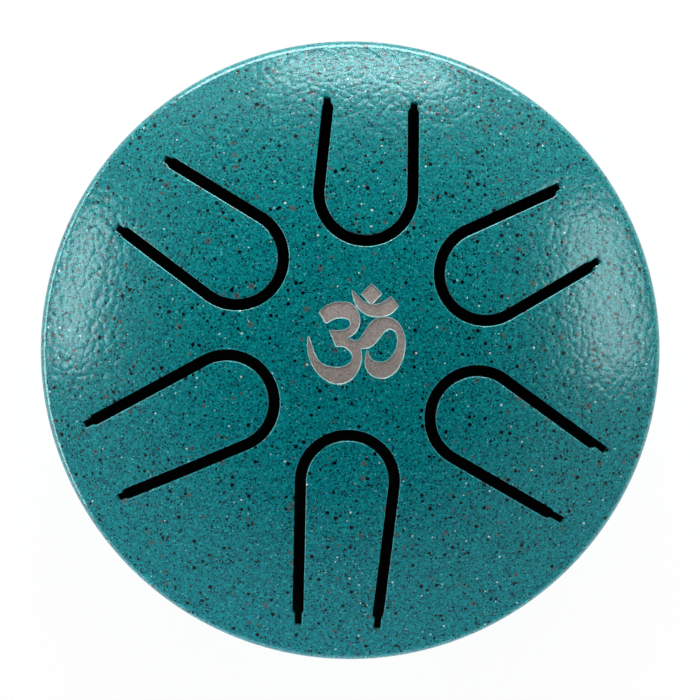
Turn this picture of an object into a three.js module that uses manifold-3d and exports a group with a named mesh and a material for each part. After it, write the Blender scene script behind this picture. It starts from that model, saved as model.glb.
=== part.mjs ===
// Steel tongue drum with six tongues, about 150 mm across.
// Two pressed steel dishes are welded rim to rim. Six U-shaped slots in the upper dish leave six
// tongues of different length, each joined to the dish at its outer end, where it bends when struck.
// The lower dish has a sound hole in its middle and stands on three rubber feet, each held by a screw
// that passes through foot and sheet into a washer and a nut inside the drum.
// Units are millimetres, +Z is up, and the origin is on the table, on the drum's axis.

import * as THREE from 'three';
import { mergeVertices } from 'three/addons/utils/BufferGeometryUtils.js';
import Module from 'manifold-3d';

const wasm = await Module();
wasm.setup();

// Sheet and rim, common to both dishes
const SHELL_RADIUS = 75.7;
const SHEET = 1.2;

// Upper dish: a shallow crown, a tight knuckle and a straight wall
const TOP_CROWN_RADIUS = 170;
const TOP_KNUCKLE_RADIUS = 3;
const TOP_WALL = 12.5;

// Lower dish: a flat base that reaches just past the feet, a flare, a knuckle and a straight wall
const BASE_FLAT_MARGIN = 0.5;
const BASE_FLARE_RADIUS = 45;
const BASE_KNUCKLE_RADIUS = 14;
const BASE_WALL = 10;
const SOUND_HOLE_RADIUS = 20;

// Weld between the two walls, ground nearly flush
const WELD_HEIGHT = 2;
const WELD_PROUD = 0.3;
const WELD_INSIDE = 0.4;

// Slot pattern: where its middle lies beside the drum's axis, and its turn clockwise from +Y
const PATTERN_X = 1.15;
const PATTERN_Y = 4.4;
const PATTERN_TURN = 3.7;
const TONGUE_CIRCLE = 34.7;
const SLOT_ROUND_RADIUS = 11.3;
const SLOT_WIDTH = 2.7;
const SLOT_LEAN = 2.66;
const ROOT_GAP = 0.3;

// Straight length of a slot's two legs on each tongue, and by how much the two may differ from it
const LEG_1 = 36.4;
const LEG_2 = 33.9;
const LEG_3 = 31.55;
const LEG_4 = 27.15;
const LEG_5 = 25.3;
const LEG_6 = 21.8;
const LEG_SKEW = 0.4;

// Narrow tuning cuts at the far ends of the legs
const NICK_SHORT = 1.4;
const NICK_MIDDLE = 2.05;
const NICK_LONG = 2.9;
const NICK_LONGEST = 3.3;
const NICK_WIDTH = 1.7;
const NICK_SHOULDER = 1;
const NICK_CORNER = 0.4;

// The tongues clockwise from the top of the pattern, numbered from the lowest note to the highest.
// Where two values are given, the first is for the leg on the clockwise side. skew is the share of
// LEG_SKEW by which that leg is longer, and an aside of 1 puts a nick at its slot's outer edge.
const TONGUES = [
  { name: 'tongue_6', leg: LEG_6, skew: 0, nicks: [NICK_SHORT, NICK_SHORT], asides: [0.2, 0.6] },
  { name: 'tongue_5', leg: LEG_5, skew: 0.9, nicks: [NICK_MIDDLE, NICK_SHORT], asides: [-0.5, 0.95] },
  { name: 'tongue_3', leg: LEG_3, skew: 1, nicks: [NICK_LONGEST, NICK_LONGEST], asides: [-0.3, 0.95] },
  { name: 'tongue_1', leg: LEG_1, skew: 0, nicks: [NICK_LONG, NICK_LONG], asides: [-0.2, 0.3] },
  { name: 'tongue_2', leg: LEG_2, skew: -0.6, nicks: [NICK_MIDDLE, NICK_SHORT], asides: [0, 0.2] },
  { name: 'tongue_4', leg: LEG_4, skew: -0.5, nicks: [NICK_SHORT, NICK_SHORT], asides: [0, 0.4] },
];

// Sign in the middle of the pattern, where the paint is cut away to bare steel. It is drawn on a grid
// with squares of this side.
const SIGN_GRID = 1;
const ENGRAVING_DEPTH = 0.25;

// Rubber feet: the inset is from the drum's wall to a foot's middle, and the wall is what a foot has
// outside the recess for the screw head, at the table
const FOOT_COUNT = 3;
const FOOT_INSET = 29.7;
const FOOT_FIRST_ANGLE = 90;
const FOOT_HEIGHT = 6.5;
const FOOT_WALL = 2.6;
const FOOT_FLARE = 0.9;
const FOOT_EDGE = 0.8;
const HEAD_CLEARANCE = 0.5;
const HEAD_RECESS = 1.4;

// Foot screws, washers and nuts
const SCREW_RADIUS = 1.95;
const SCREW_CLEARANCE = 0.25;
const SCREW_HEAD_RADIUS = 3.5;
const SCREW_HEAD_HEIGHT = 2.4;
const SCREW_HEAD_CROWN = 0.8;
const SCREW_CROSS_LENGTH = 4;
const SCREW_CROSS_WIDTH = 0.9;
const SCREW_CROSS_DEPTH = 1.3;
const SCREW_RUN_OUT = 1.2;
const SCREW_POINT = 0.6;
const WASHER_RADIUS = 4.5;
const WASHER_THICKNESS = 0.8;
const NUT_ACROSS_FLATS = 7;
const NUT_HEIGHT = 3.2;
const NUT_CLEARANCE = 0.15;

// Facets of the round shapes
const SHELL_FACETS = 64;
const CROWN_STEPS = 7;
const FLARE_STEPS = 3;
const KNUCKLE_STEPS = 4;
const SMALL_FACETS = 20;
const BEAD_STEPS = 2;
const TONGUE_ARC_STEPS = 14;

const rad = THREE.MathUtils.degToRad;

// Sizes that follow from the ones above
const boreRadius = SCREW_RADIUS + SCREW_CLEARANCE;
const recessRadius = SCREW_HEAD_RADIUS + HEAD_CLEARANCE;
const headSeat = HEAD_RECESS + SCREW_HEAD_HEIGHT;
const footBottomRadius = recessRadius + FOOT_WALL;
const footTopRadius = footBottomRadius + FOOT_FLARE;
const footCircle = SHELL_RADIUS - FOOT_INSET;
const baseFlatRadius = footCircle + footTopRadius + BASE_FLAT_MARGIN;

// Materials

const paint = new THREE.MeshStandardMaterial({ color: 0x1c8a8d, roughness: 0.3, metalness: 0.1 });
const tonguePaint = new THREE.MeshStandardMaterial({ color: 0x2a989a, roughness: 0.3, metalness: 0.1 });
const weldPaint = new THREE.MeshStandardMaterial({ color: 0x177a7d, roughness: 0.4, metalness: 0.1 });
const rubber = new THREE.MeshStandardMaterial({ color: 0x1b1b1c, roughness: 0.85, metalness: 0 });
const zincSteel = new THREE.MeshStandardMaterial({ color: 0xa9adb0, roughness: 0.35, metalness: 0.9 });

// Solids and meshes

/** Makes a solid from a closed geometry: corners in the same place are merged, empty faces left out. */
function solidOf(geometry) {
  geometry.deleteAttribute('normal');
  geometry.deleteAttribute('uv');
  const merged = mergeVertices(geometry);
  const corners = merged.index.array;
  const faces = [];
  for (let i = 0; i < corners.length; i += 3) {
    const [a, b, c] = corners.subarray(i, i + 3);
    if (a !== b && b !== c && c !== a) {
      faces.push(a, b, c);
    }
  }
  const vertProperties = new Float32Array(merged.attributes.position.array);
  return new wasm.Manifold(new wasm.Mesh({ numProp: 3, vertProperties, triVerts: new Uint32Array(faces) }));
}

/** Makes the geometry of a solid. */
function geometryOf(solid) {
  const mesh = solid.getMesh();
  const geometry = new THREE.BufferGeometry();
  geometry.setAttribute('position', new THREE.BufferAttribute(new Float32Array(mesh.vertProperties), 3));
  geometry.setIndex(new THREE.BufferAttribute(new Uint32Array(mesh.triVerts), 1));
  geometry.computeVertexNormals();
  return geometry;
}

/** Makes a named sub-part of a solid, lifted to a height. */
function subPart(name, solid, material, height = 0) {
  const mesh = new THREE.Mesh(geometryOf(solid), material);
  mesh.name = name;
  mesh.position.z = height;
  return mesh;
}

/** Turns a profile of [radius, height] points about Z. A profile runs anticlockwise round the metal. */
function turned(profile, facets) {
  const points = profile.map(([radius, height]) => new THREE.Vector2(radius, height));
  return solidOf(new THREE.LatheGeometry(points, facets).rotateX(Math.PI / 2));
}

/** Turns a profile that closes on itself, away from the axis. */
function turnedRing(profile, facets) {
  return turned([...profile, profile[0]], facets);
}

/** Raises flat shapes from one height to another. */
function raised(shapes, low, high, steps = 1) {
  const options = { depth: high - low, bevelEnabled: false, curveSegments: steps };
  return solidOf(new THREE.ExtrudeGeometry(shapes, options).translate(0, 0, low));
}

// The dishes

/** Places the arcs of a dish, measured up from its rim: crown or flare centre, height and the tangent angle. */
function dishArcs({ flat, crown, knuckle, wall }) {
  const tangent = Math.asin((SHELL_RADIUS - knuckle - flat) / (crown - knuckle));
  const crownCentre = wall - (crown - knuckle) * Math.cos(tangent);
  return { tangent, crownCentre, height: crownCentre + crown };
}

/** Line of a dish from its middle to its rim, at a depth under its outer face. */
function dishLine(dish, depth, fromRadius) {
  const { flat, crown, knuckle, wall, steps } = dish;
  const { tangent, crownCentre } = dishArcs(dish);
  const line = flat > fromRadius ? [[fromRadius, crownCentre + crown - depth]] : [];
  for (let i = 0; i <= steps; i += 1) {
    const angle = (tangent * i) / steps;
    const reach = crown - depth;
    line.push([flat + reach * Math.sin(angle), crownCentre + reach * Math.cos(angle)]);
  }
  for (let i = 1; i <= KNUCKLE_STEPS; i += 1) {
    const angle = tangent + ((Math.PI / 2 - tangent) * i) / KNUCKLE_STEPS;
    const reach = knuckle - depth;
    line.push([SHELL_RADIUS - knuckle + reach * Math.sin(angle), wall + reach * Math.cos(angle)]);
  }
  line.push([SHELL_RADIUS - depth, 0]);
  return line;
}

const topDish = {
  flat: 0,
  crown: TOP_CROWN_RADIUS,
  knuckle: TOP_KNUCKLE_RADIUS,
  wall: TOP_WALL,
  steps: CROWN_STEPS,
};
const baseDish = {
  flat: baseFlatRadius,
  crown: BASE_FLARE_RADIUS,
  knuckle: BASE_KNUCKLE_RADIUS,
  wall: BASE_WALL,
  steps: FLARE_STEPS,
};
const topHeight = dishArcs(topDish).height;
const baseHeight = dishArcs(baseDish).height;

const baseInside = FOOT_HEIGHT + SHEET;
const weldBottom = FOOT_HEIGHT + baseHeight;
const topRim = weldBottom + WELD_HEIGHT;

/** The upper dish before anything is cut, its rim at height 0. */
function plainTopDish() {
  const outer = dishLine(topDish, 0, 0);
  const inner = dishLine(topDish, SHEET, 0);
  return turned([...inner, ...outer.reverse()], SHELL_FACETS);
}

/** The lower dish, crown down, its rim at height 0: the sound hole is open and the screw holes are cut. */
function lowerDish() {
  const outer = dishLine(baseDish, 0, SOUND_HOLE_RADIUS);
  const inner = dishLine(baseDish, SHEET, SOUND_HOLE_RADIUS);
  let dish = turnedRing([...inner, ...outer.reverse()], SHELL_FACETS).rotate([180, 0, 0]);
  for (const angle of footAngles()) {
    const hole = roundBar(boreRadius, -baseHeight - SHEET, 0);
    dish = dish.subtract(hole.translate([...onCircle(footCircle, angle), 0]));
  }
  return dish;
}

/** The weld bead: it fills the gap between the walls and stands a little proud outside and inside. */
function weldRing() {
  const bead = (radius, proud, fromAngle) =>
    Array.from({ length: BEAD_STEPS + 1 }, (_, i) => {
      const angle = fromAngle + (Math.PI * i) / BEAD_STEPS;
      return [radius + proud * Math.cos(angle), (WELD_HEIGHT / 2) * (1 + Math.sin(angle))];
    });
  const outside = bead(SHELL_RADIUS, WELD_PROUD, -Math.PI / 2);
  const inside = bead(SHELL_RADIUS - SHEET, WELD_INSIDE, Math.PI / 2);
  return turnedRing([...outside, ...inside], SHELL_FACETS);
}

// The tongues

// A tongue is drawn in plan with +Y along it towards the rim and the pattern's middle at the origin.
// side is 1 for the window in the dish, whose outline follows the slot's outer edge, and -1 for the
// tongue itself, which follows the slot's inner edge and stops short of the root line.

/** Corners of the outline along one leg of the slot, from its far end to where its round end starts. */
function legCorners({ leg, skew, nicks, asides }, hand, side) {
  const lean = rad(SLOT_LEAN);
  const which = hand === 1 ? 0 : 1;
  const end = leg + hand * skew * LEG_SKEW;
  const root = end - NICK_CORNER;
  const shoulder = end - nicks[which];
  const middle = (asides[which] * (SLOT_WIDTH - NICK_WIDTH)) / 2;
  const inner = middle - NICK_WIDTH / 2;
  const outer = middle + NICK_WIDTH / 2;
  const roundTheNick = [
    [root, inner],
    [end, inner + NICK_CORNER],
    [end, outer - NICK_CORNER],
    [root, outer],
    [shoulder, outer],
  ];
  const shortOfTheRoot = [[root - ROOT_GAP, inner], [shoulder, inner]];
  const corners = side === 1 ? roundTheNick : shortOfTheRoot;
  return [...corners, [shoulder - NICK_SHOULDER, (side * SLOT_WIDTH) / 2]].map(([along, across]) => [
    hand * ((SLOT_ROUND_RADIUS + across) * Math.cos(lean) - along * Math.sin(lean)),
    TONGUE_CIRCLE + (SLOT_ROUND_RADIUS + across) * Math.sin(lean) + along * Math.cos(lean),
  ]);
}

/** Outline of a tongue or its window: down one leg, round the slot's round end and up the other leg. */
function tongueOutline(tongue, side) {
  const lean = rad(SLOT_LEAN);
  const radius = SLOT_ROUND_RADIUS + (side * SLOT_WIDTH) / 2;
  const [start, ...clockwiseLeg] = legCorners(tongue, 1, side);
  const shape = new THREE.Shape();
  shape.moveTo(...start);
  clockwiseLeg.forEach((corner) => shape.lineTo(...corner));
  shape.absarc(0, TONGUE_CIRCLE, radius, lean, Math.PI - lean, true);
  legCorners(tongue, -1, side).reverse().forEach((corner) => shape.lineTo(...corner));
  shape.closePath();
  return shape;
}

/** A tongue's or window's outline raised through the upper dish, turned and moved to its place. */
function tonguePrism(tongue, index, side) {
  const turn = PATTERN_TURN + (360 / TONGUES.length) * index;
  const prism = raised(tongueOutline(tongue, side), TOP_WALL, topHeight + SHEET, TONGUE_ARC_STEPS);
  return prism.rotate([0, 0, -turn]).translate([PATTERN_X, PATTERN_Y, 0]);
}

// The engraved sign: the traditional Om, drawn as curves between its corners

/** Adds a smooth stretch to an outline, from where it is through the points given. */
function through(outline, points) {
  outline.splineThru(points.map(([x, y]) => new THREE.Vector2(x, y)));
}

/** The numeral-like bowls and the loop that leaves them, as one outline about the sign's middle. */
function signBody() {
  const outline = new THREE.Shape();
  outline.moveTo(-8.9, 6.3);
  through(outline, [[-7.2, 7.8], [-4.6, 8.6], [-1.6, 8.3], [0.1, 6.5], [0.6, 4.1], [-0.2, 1.8], [-2.1, 0.2]]);
  through(outline, [[-1.1, -0.5], [0.2, -0.5], [1.3, 0.6], [3, 3.2], [4.6, 4.6], [6.7, 5], [8.8, 4.4], [10.4, 2.8],
    [11.3, 0.4], [11.4, -2.1], [10.8, -5.1], [9.4, -7.7], [7.6, -9.1], [5.7, -9.5], [3.7, -8.9], [2.4, -7.4],
    [2, -5.4], [2.5, -2.9]]);
  through(outline, [[2.9, -4.3], [3.8, -5.3], [5.4, -5.8], [7.1, -5.4], [8.5, -4.2], [9.5, -2.4], [9.8, -0.2],
    [9.2, 1.6], [7.9, 2.3], [6.7, 1.8], [5.5, 0.4], [4.2, -1.2], [2.7, -2.2], [0.8, -2.3]]);
  through(outline, [[1, -4.7], [0.4, -7.2], [-1, -9.4], [-2.9, -10.6], [-5.2, -10.8], [-7.6, -9.8], [-9.7, -7.8],
    [-11.2, -4.9], [-11.7, -2.2], [-11.6, 0.5]]);
  through(outline, [[-10.9, -1.6], [-10.2, -3.7], [-9, -5.6], [-7.3, -6.6], [-5, -7], [-3, -6.7], [-1.5, -5.7],
    [-1, -4.2], [-1.8, -2.8], [-3.3, -1.9], [-5, -1.8]]);
  outline.lineTo(-6.5, 1.9);
  through(outline, [[-4.6, 1.8], [-2.9, 2], [-1.7, 2.8], [-1.5, 3.8], [-2.2, 4.7], [-3.7, 5], [-5.4, 4.7],
    [-7.4, 3.7]]);
  outline.closePath();
  return outline;
}

/** The crescent above the sign. */
function signCrescent() {
  const outline = new THREE.Shape();
  outline.moveTo(-1.1, 11.4);
  through(outline, [[-0.4, 8.5], [1.1, 6.5], [3.3, 5.4], [6, 5.2], [8.3, 6.1], [9.8, 7.7]]);
  outline.lineTo(8.1, 9.9);
  through(outline, [[6.8, 8.8], [5.1, 8.1], [3.3, 8.1], [1.4, 8.9], [-1.1, 11.4]]);
  return outline;
}

/** The dot above the crescent, a small square standing on its corner. */
function signDot() {
  const outline = new THREE.Shape();
  outline.moveTo(3.5, 12.9);
  outline.lineTo(5.8, 10.6);
  outline.lineTo(3.5, 8.4);
  outline.lineTo(1.1, 10.6);
  outline.closePath();
  return outline;
}

/** The sign as a cut of even depth into the upper dish's outer face. */
function signCut() {
  const shapes = [signBody(), signCrescent(), signDot()];
  const prism = raised(shapes, TOP_WALL, topHeight + SHEET).scale([SIGN_GRID, SIGN_GRID, 1]);
  const floor = turned([[0, 0], ...dishLine(topDish, ENGRAVING_DEPTH, 0).reverse()], SMALL_FACETS);
  return prism.translate([PATTERN_X, PATTERN_Y, 0]).subtract(floor);
}

// Feet and their fasteners, each on the Z axis with the table at height 0

/** Angles of the feet about the drum's axis, in degrees anticlockwise from +X. */
function footAngles() {
  return Array.from({ length: FOOT_COUNT }, (_, i) => FOOT_FIRST_ANGLE + (360 / FOOT_COUNT) * i);
}

/** The point on a circle at an angle in degrees. */
function onCircle(radius, angle) {
  return [radius * Math.cos(rad(angle)), radius * Math.sin(rad(angle))];
}

/** A plain round bar on the Z axis. */
function roundBar(radius, low, high) {
  return turned([[0, low], [radius, low], [radius, high], [0, high]], SMALL_FACETS);
}

/** A rubber foot: a short cone with a rounded lower edge, bored for the screw and its head. */
function footSolid() {
  return turnedRing([
    [recessRadius, 0],
    [footBottomRadius - FOOT_EDGE, 0],
    [footBottomRadius, FOOT_EDGE],
    [footTopRadius, FOOT_HEIGHT],
    [boreRadius, FOOT_HEIGHT],
    [boreRadius, headSeat],
    [recessRadius, headSeat],
  ], SMALL_FACETS);
}

/** A foot screw, head down: a pan head with a cross recess and a shank that ends past the nut. */
function screwSolid() {
  const tip = baseInside + WASHER_THICKNESS + NUT_HEIGHT + SCREW_RUN_OUT;
  const blank = turned([
    [0, HEAD_RECESS],
    [SCREW_HEAD_RADIUS - SCREW_HEAD_CROWN, HEAD_RECESS],
    [SCREW_HEAD_RADIUS, HEAD_RECESS + SCREW_HEAD_CROWN],
    [SCREW_HEAD_RADIUS, headSeat],
    [SCREW_RADIUS, headSeat],
    [SCREW_RADIUS, tip - SCREW_POINT],
    [SCREW_RADIUS - SCREW_POINT, tip],
    [0, tip],
  ], SMALL_FACETS);
  const box = new THREE.BoxGeometry(SCREW_CROSS_LENGTH, SCREW_CROSS_WIDTH, 2 * SCREW_CROSS_DEPTH);
  const slot = solidOf(box.translate(0, 0, HEAD_RECESS));
  return blank.subtract(slot).subtract(slot.rotate([0, 0, 90]));
}

/** A flat washer, on the inside of the lower dish. */
function washerSolid() {
  const top = baseInside + WASHER_THICKNESS;
  return turnedRing([
    [boreRadius, baseInside],
    [WASHER_RADIUS, baseInside],
    [WASHER_RADIUS, top],
    [boreRadius, top],
  ], SMALL_FACETS);
}

/** A hexagon nut, on the washer. */
function nutSolid() {
  const low = baseInside + WASHER_THICKNESS;
  const corner = NUT_ACROSS_FLATS / 2 / Math.cos(Math.PI / 6);
  const hexagon = turned([[0, low], [corner, low], [corner, low + NUT_HEIGHT], [0, low + NUT_HEIGHT]], 6);
  return hexagon.subtract(roundBar(SCREW_RADIUS + NUT_CLEARANCE, low - NUT_HEIGHT, low + 2 * NUT_HEIGHT));
}

// Sub-assemblies

/** The shells: the upper dish with its windows and sign, the lower dish and the weld between them. */
function shellGroup() {
  const group = new THREE.Group();
  let upper = plainTopDish().subtract(signCut());
  TONGUES.forEach((tongue, index) => {
    upper = upper.subtract(tonguePrism(tongue, index, 1));
  });
  group.add(subPart('top_shell', upper, paint, topRim));
  group.add(subPart('bottom_shell', lowerDish(), paint, weldBottom));
  group.add(subPart('seam_weld', weldRing(), weldPaint, weldBottom));
  return group;
}

/** The six tongues, cut from the same sheet as the upper dish. */
function tongueGroup() {
  const group = new THREE.Group();
  TONGUES.forEach((tongue, index) => {
    const solid = plainTopDish().intersect(tonguePrism(tongue, index, -1));
    group.add(subPart(tongue.name, solid, tonguePaint, topRim));
  });
  return group;
}

/** One foot with its screw, washer and nut, standing at its angle under the drum. */
function footGroup(number, angle) {
  const group = new THREE.Group();
  group.add(subPart(`foot_${number}`, footSolid(), rubber));
  group.add(subPart(`foot_screw_${number}`, screwSolid(), zincSteel));
  group.add(subPart(`foot_washer_${number}`, washerSolid(), zincSteel));
  group.add(subPart(`foot_nut_${number}`, nutSolid(), zincSteel));
  group.position.set(...onCircle(footCircle, angle), 0);
  return group;
}

/** The whole drum. */
function drum() {
  const group = new THREE.Group();
  group.add(shellGroup());
  group.add(tongueGroup());
  footAngles().forEach((angle, index) => group.add(footGroup(index + 1, angle)));
  return group;
}

export default drum();
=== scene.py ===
"""A round steel tongue drum about 150 mm across, seen from straight above on a white ground.

Two pressed dishes are welded rim to rim. Six tongues are cut free in the upper one round an engraved
sign, the lower one has a sound hole, and three rubber feet are screwed to it. Sizes are in
millimetres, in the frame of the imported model, and meshes are written in metres.
"""

import logging
import math
from dataclasses import dataclass, field
from enum import Enum, IntEnum
from typing import Any, Mapping, Sequence

import bmesh
import bpy
import numpy as np
from mathutils import Matrix, Vector
from mathutils.geometry import delaunay_2d_cdt


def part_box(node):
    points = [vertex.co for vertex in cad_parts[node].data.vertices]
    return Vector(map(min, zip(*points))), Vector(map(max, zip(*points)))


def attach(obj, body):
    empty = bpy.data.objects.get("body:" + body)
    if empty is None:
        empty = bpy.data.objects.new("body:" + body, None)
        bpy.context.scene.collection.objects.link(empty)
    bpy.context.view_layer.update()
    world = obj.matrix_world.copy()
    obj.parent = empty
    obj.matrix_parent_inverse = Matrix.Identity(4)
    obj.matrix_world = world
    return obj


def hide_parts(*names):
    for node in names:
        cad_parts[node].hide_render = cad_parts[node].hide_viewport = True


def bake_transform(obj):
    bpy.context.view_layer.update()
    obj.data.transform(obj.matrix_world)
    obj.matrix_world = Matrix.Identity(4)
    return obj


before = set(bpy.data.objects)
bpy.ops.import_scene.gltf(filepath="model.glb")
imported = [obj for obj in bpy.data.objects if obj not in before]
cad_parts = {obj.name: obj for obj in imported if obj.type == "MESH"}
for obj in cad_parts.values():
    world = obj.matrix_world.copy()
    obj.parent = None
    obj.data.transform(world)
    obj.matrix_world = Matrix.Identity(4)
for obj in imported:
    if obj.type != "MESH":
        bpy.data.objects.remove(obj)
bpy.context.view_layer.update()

Array = np.ndarray
Colour = tuple[float, float, float, float]
logger = logging.getLogger("tongue_drum")

MM = 0.001
SAME_PLACE = 1e-4  # millimetres under which two points are one
WELD_REACH = 1e-3  # millimetres under which two patches are welded
SHARP_EDGE = 38  # degrees over which an edge shows as a crease
CLEAR_SHARE = 0.6  # share of a mesh's step that stays free along its fixed lines
NO_AREA = 1e-5  # twice the area, in square millimetres, under which a triangle is left out


def screen(red: int, green: int, blue: int) -> Colour:
    """Turns a colour as a screen shows it, 0 to 255, into the linear numbers that shaders use.

    It undoes the usual curve of screens: a short straight stretch, and a power of 2.4 above it.

    Args:
        red: Red, 0 to 255.
        green: Green, 0 to 255.
        blue: Blue, 0 to 255.

    Returns:
        The linear colour with full alpha.
    """
    shown = np.array((red, green, blue)) / 255
    linear = np.where(shown <= 0.04045, shown / 12.92, ((shown + 0.055) / 1.055) ** 2.4)
    return (*linear.tolist(), 1.0)


def node_box(name: str) -> tuple[Array, Array]:
    """Gives a node's lowest and highest corner at rest, in millimetres."""
    low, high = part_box(name)
    return np.array(low) / MM, np.array(high) / MM


class Side(Enum):
    """The two legs of a slot, seen from the drum's middle: each value is the sign of local X."""

    CLOCKWISE = 1
    ANTICLOCKWISE = -1


class Finish(Enum):
    """The finishes of the drum: a material's name and the record's slot that it belongs to."""

    PAINT = ("speckled_paint", "paint")
    # Pale edge round the sign: a painted highlight on the rounded paint edge.
    PAINT_EDGE = ("cut_paint_edge_highlight", "paint")
    # Near-black inside: partly painted shade for the darkness inside the drum.
    INSIDE = ("inside_coat_and_shade", "paint")
    BARE_STEEL = ("engraved_steel", "bare_steel")
    RUBBER = ("foot_rubber", "rubber")
    ZINC = ("bright_zinc", "zinc_steel")

    @property
    def material_name(self) -> str:
        """Name of the finish's material."""
        return self.value[0]

    @property
    def slot(self) -> str:
        """Slot of the record that the finish belongs to."""
        return self.value[1]


# Plan curves


def arc(centre: Sequence[float], radius: float, start: float, stop: float, count: int) -> Array:
    """Points on an arc: the centre plus the radius times (cosine, sine) of evenly spaced angles.

    Args:
        centre: Centre of the arc.
        radius: Radius of the arc.
        start: First angle in degrees.
        stop: Last angle in degrees.
        count: Number of points.

    Returns:
        An array of count points.
    """
    angle = np.radians(np.linspace(start, stop, count))
    return np.asarray(centre) + radius * np.column_stack((np.cos(angle), np.sin(angle)))


def ring_of(centre: Sequence[float], radius: float, count: int) -> Array:
    """Evenly spaced points round a full circle, anticlockwise from +X."""
    return arc(centre, radius, 0, 360, count + 1)[:-1]


def straight(start: Sequence[float], stop: Sequence[float], step: float) -> Array:
    """Points along a straight line, evenly spaced, with both ends.

    Args:
        start: First point.
        stop: Last point.
        step: Greatest distance between two points.

    Returns:
        The points.
    """
    start, stop = np.asarray(start, float), np.asarray(stop, float)
    count = max(2, math.ceil(np.linalg.norm(stop - start) / step) + 1)
    return start + (stop - start) * np.linspace(0, 1, count)[:, None]


def joined(*stretches: Array) -> Array:
    """Joins stretches end to end and leaves out points that fall on the one before them.

    Args:
        *stretches: The stretches of points, in order.

    Returns:
        The points of the whole line.
    """
    points = np.concatenate(stretches)
    apart = np.linalg.norm(np.diff(points, axis=0), axis=1) > SAME_PLACE
    return points[np.concatenate(([True], apart))]


def smooth_through(points: Array, steps: int) -> Array:
    """A Catmull-Rom curve through points.

    Between two points the curve is half of (2 b + (c - a) t + (2 a - 5 b + 4 c - d) t squared +
    (3 b - a - 3 c + d) t cubed), where a to d are the four points around the stretch.

    Args:
        points: The points that the curve passes.
        steps: Number of steps between two points.

    Returns:
        The points of the curve.
    """
    padded = np.concatenate((points[:1], points, points[-1:]))
    a, b, c, d = (padded[i : len(padded) - 3 + i, None] for i in range(4))
    t = (np.arange(steps) / steps)[None, :, None]
    curve = 2 * b + (c - a) * t + (2 * a - 5 * b + 4 * c - d) * t**2 + (3 * b - a - 3 * c + d) * t**3
    return np.concatenate(((curve / 2).reshape(-1, 2), points[-1:]))


def anticlockwise(loop: Array) -> Array:
    """Turns a closed loop round if its signed area, half the sum of cross products, is negative.

    Args:
        loop: Points of the loop.

    Returns:
        The loop, anticlockwise.
    """
    after = np.roll(loop, -1, 0)
    area = np.sum(loop[:, 0] * after[:, 1] - after[:, 0] * loop[:, 1]) / 2
    return loop if area > 0 else loop[::-1]


def outward(loop: Array) -> Array:
    """Unit normals that point out of an anticlockwise loop.

    Each is the way from the point before to the point after, turned a quarter to the right.

    Args:
        loop: Points of the loop.

    Returns:
        One unit normal for each point.
    """
    along = np.roll(loop, -1, 0) - np.roll(loop, 1, 0)
    across = np.column_stack((along[:, 1], -along[:, 0]))
    return across / np.linalg.norm(across, axis=1)[:, None]


def inside(points: Array, loop: Array) -> Array:
    """Tells which points lie in a loop: a ray along +X crosses it an odd number of times.

    Args:
        points: Plan points.
        loop: Corners of a closed loop.

    Returns:
        One truth value for each point.
    """
    near = np.all((points > loop.min(0)) & (points < loop.max(0)), axis=1)
    x, y = points[near, :1], points[near, 1:]
    (x0, y0), (x1, y1) = loop.T, np.roll(loop, -1, 0).T
    spans = (y0 > y) != (y1 > y)
    rise = np.where(y1 == y0, 1, y1 - y0)
    hits = spans & (x < x0 + (y - y0) * (x1 - x0) / rise)
    near[near] = hits.sum(1) % 2 == 1
    return near


def turned(points: Array, degrees: float, middle: Sequence[float] = (0, 0)) -> Array:
    """Turns plan points anticlockwise about the origin and then moves them.

    Args:
        points: Plan points.
        degrees: Angle of the turn.
        middle: Where the origin goes.

    Returns:
        The moved points.
    """
    angle = math.radians(degrees)
    cos, sin = math.cos(angle), math.sin(angle)
    return points @ np.array(((cos, sin), (-sin, cos))) + np.asarray(middle)


# Surfaces


def quarter_rounds(radius: float, thickness: float, steps: int) -> Array:
    """Profile of a sheet's cut edge as (distance into the metal, depth under the outer face).

    It is a quarter round from the outer face, a straight wall and a quarter round to the inner
    face: distance is radius * (1 - sin a) and depth is radius * (1 - cos a), and then mirrored.

    Args:
        radius: Radius of both rounds.
        thickness: Thickness of the sheet.
        steps: Steps in each round.

    Returns:
        An array of (distance, depth) pairs.
    """
    angle = np.linspace(0, math.pi / 2, steps + 1)
    upper = radius * np.column_stack((1 - np.sin(angle), 1 - np.cos(angle)))
    lower = upper[::-1] * (1, -1) + (0, thickness)
    return np.concatenate((upper, lower))


def round_corners(corners: Sequence[Sequence[float]], reach: float, steps: int) -> Array:
    """Rounds every corner of a closed profile.

    Each corner becomes the parabola (1 - t) squared * a + 2 t (1 - t) * corner + t squared * b,
    where a and b lie on its two sides at reach from it.

    Args:
        corners: Corners of the profile, as (radius, height).
        reach: How far from a corner its round begins.
        steps: Steps in each round.

    Returns:
        The points of the rounded profile.
    """
    corner = np.asarray(corners, float)
    before, after = np.roll(corner, 1, 0) - corner, np.roll(corner, -1, 0) - corner
    a = corner + before * (reach / np.linalg.norm(before, axis=1))[:, None]
    b = corner + after * (reach / np.linalg.norm(after, axis=1))[:, None]
    t = np.linspace(0, 1, steps + 1)[None, :, None]
    a, b, corner = a[:, None], b[:, None], corner[:, None]
    return ((1 - t) ** 2 * a + 2 * t * (1 - t) * corner + t**2 * b).reshape(-1, 2)


def lathe(line: Array, count: int) -> Array:
    """Carries a line of (radius, height) round Z: (radius cos a, radius sin a, height).

    Args:
        line: Points of the line.
        count: Number of steps round the axis.

    Returns:
        A grid with one row for each point of the line and one column for each step.
    """
    angle = np.arange(count) * (2 * math.pi / count)
    radius, height = line[:, :1], line[:, 1:]
    flat = np.broadcast_to(height, (len(line), count))
    return np.stack((radius * np.cos(angle), radius * np.sin(angle), flat), axis=-1)


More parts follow.
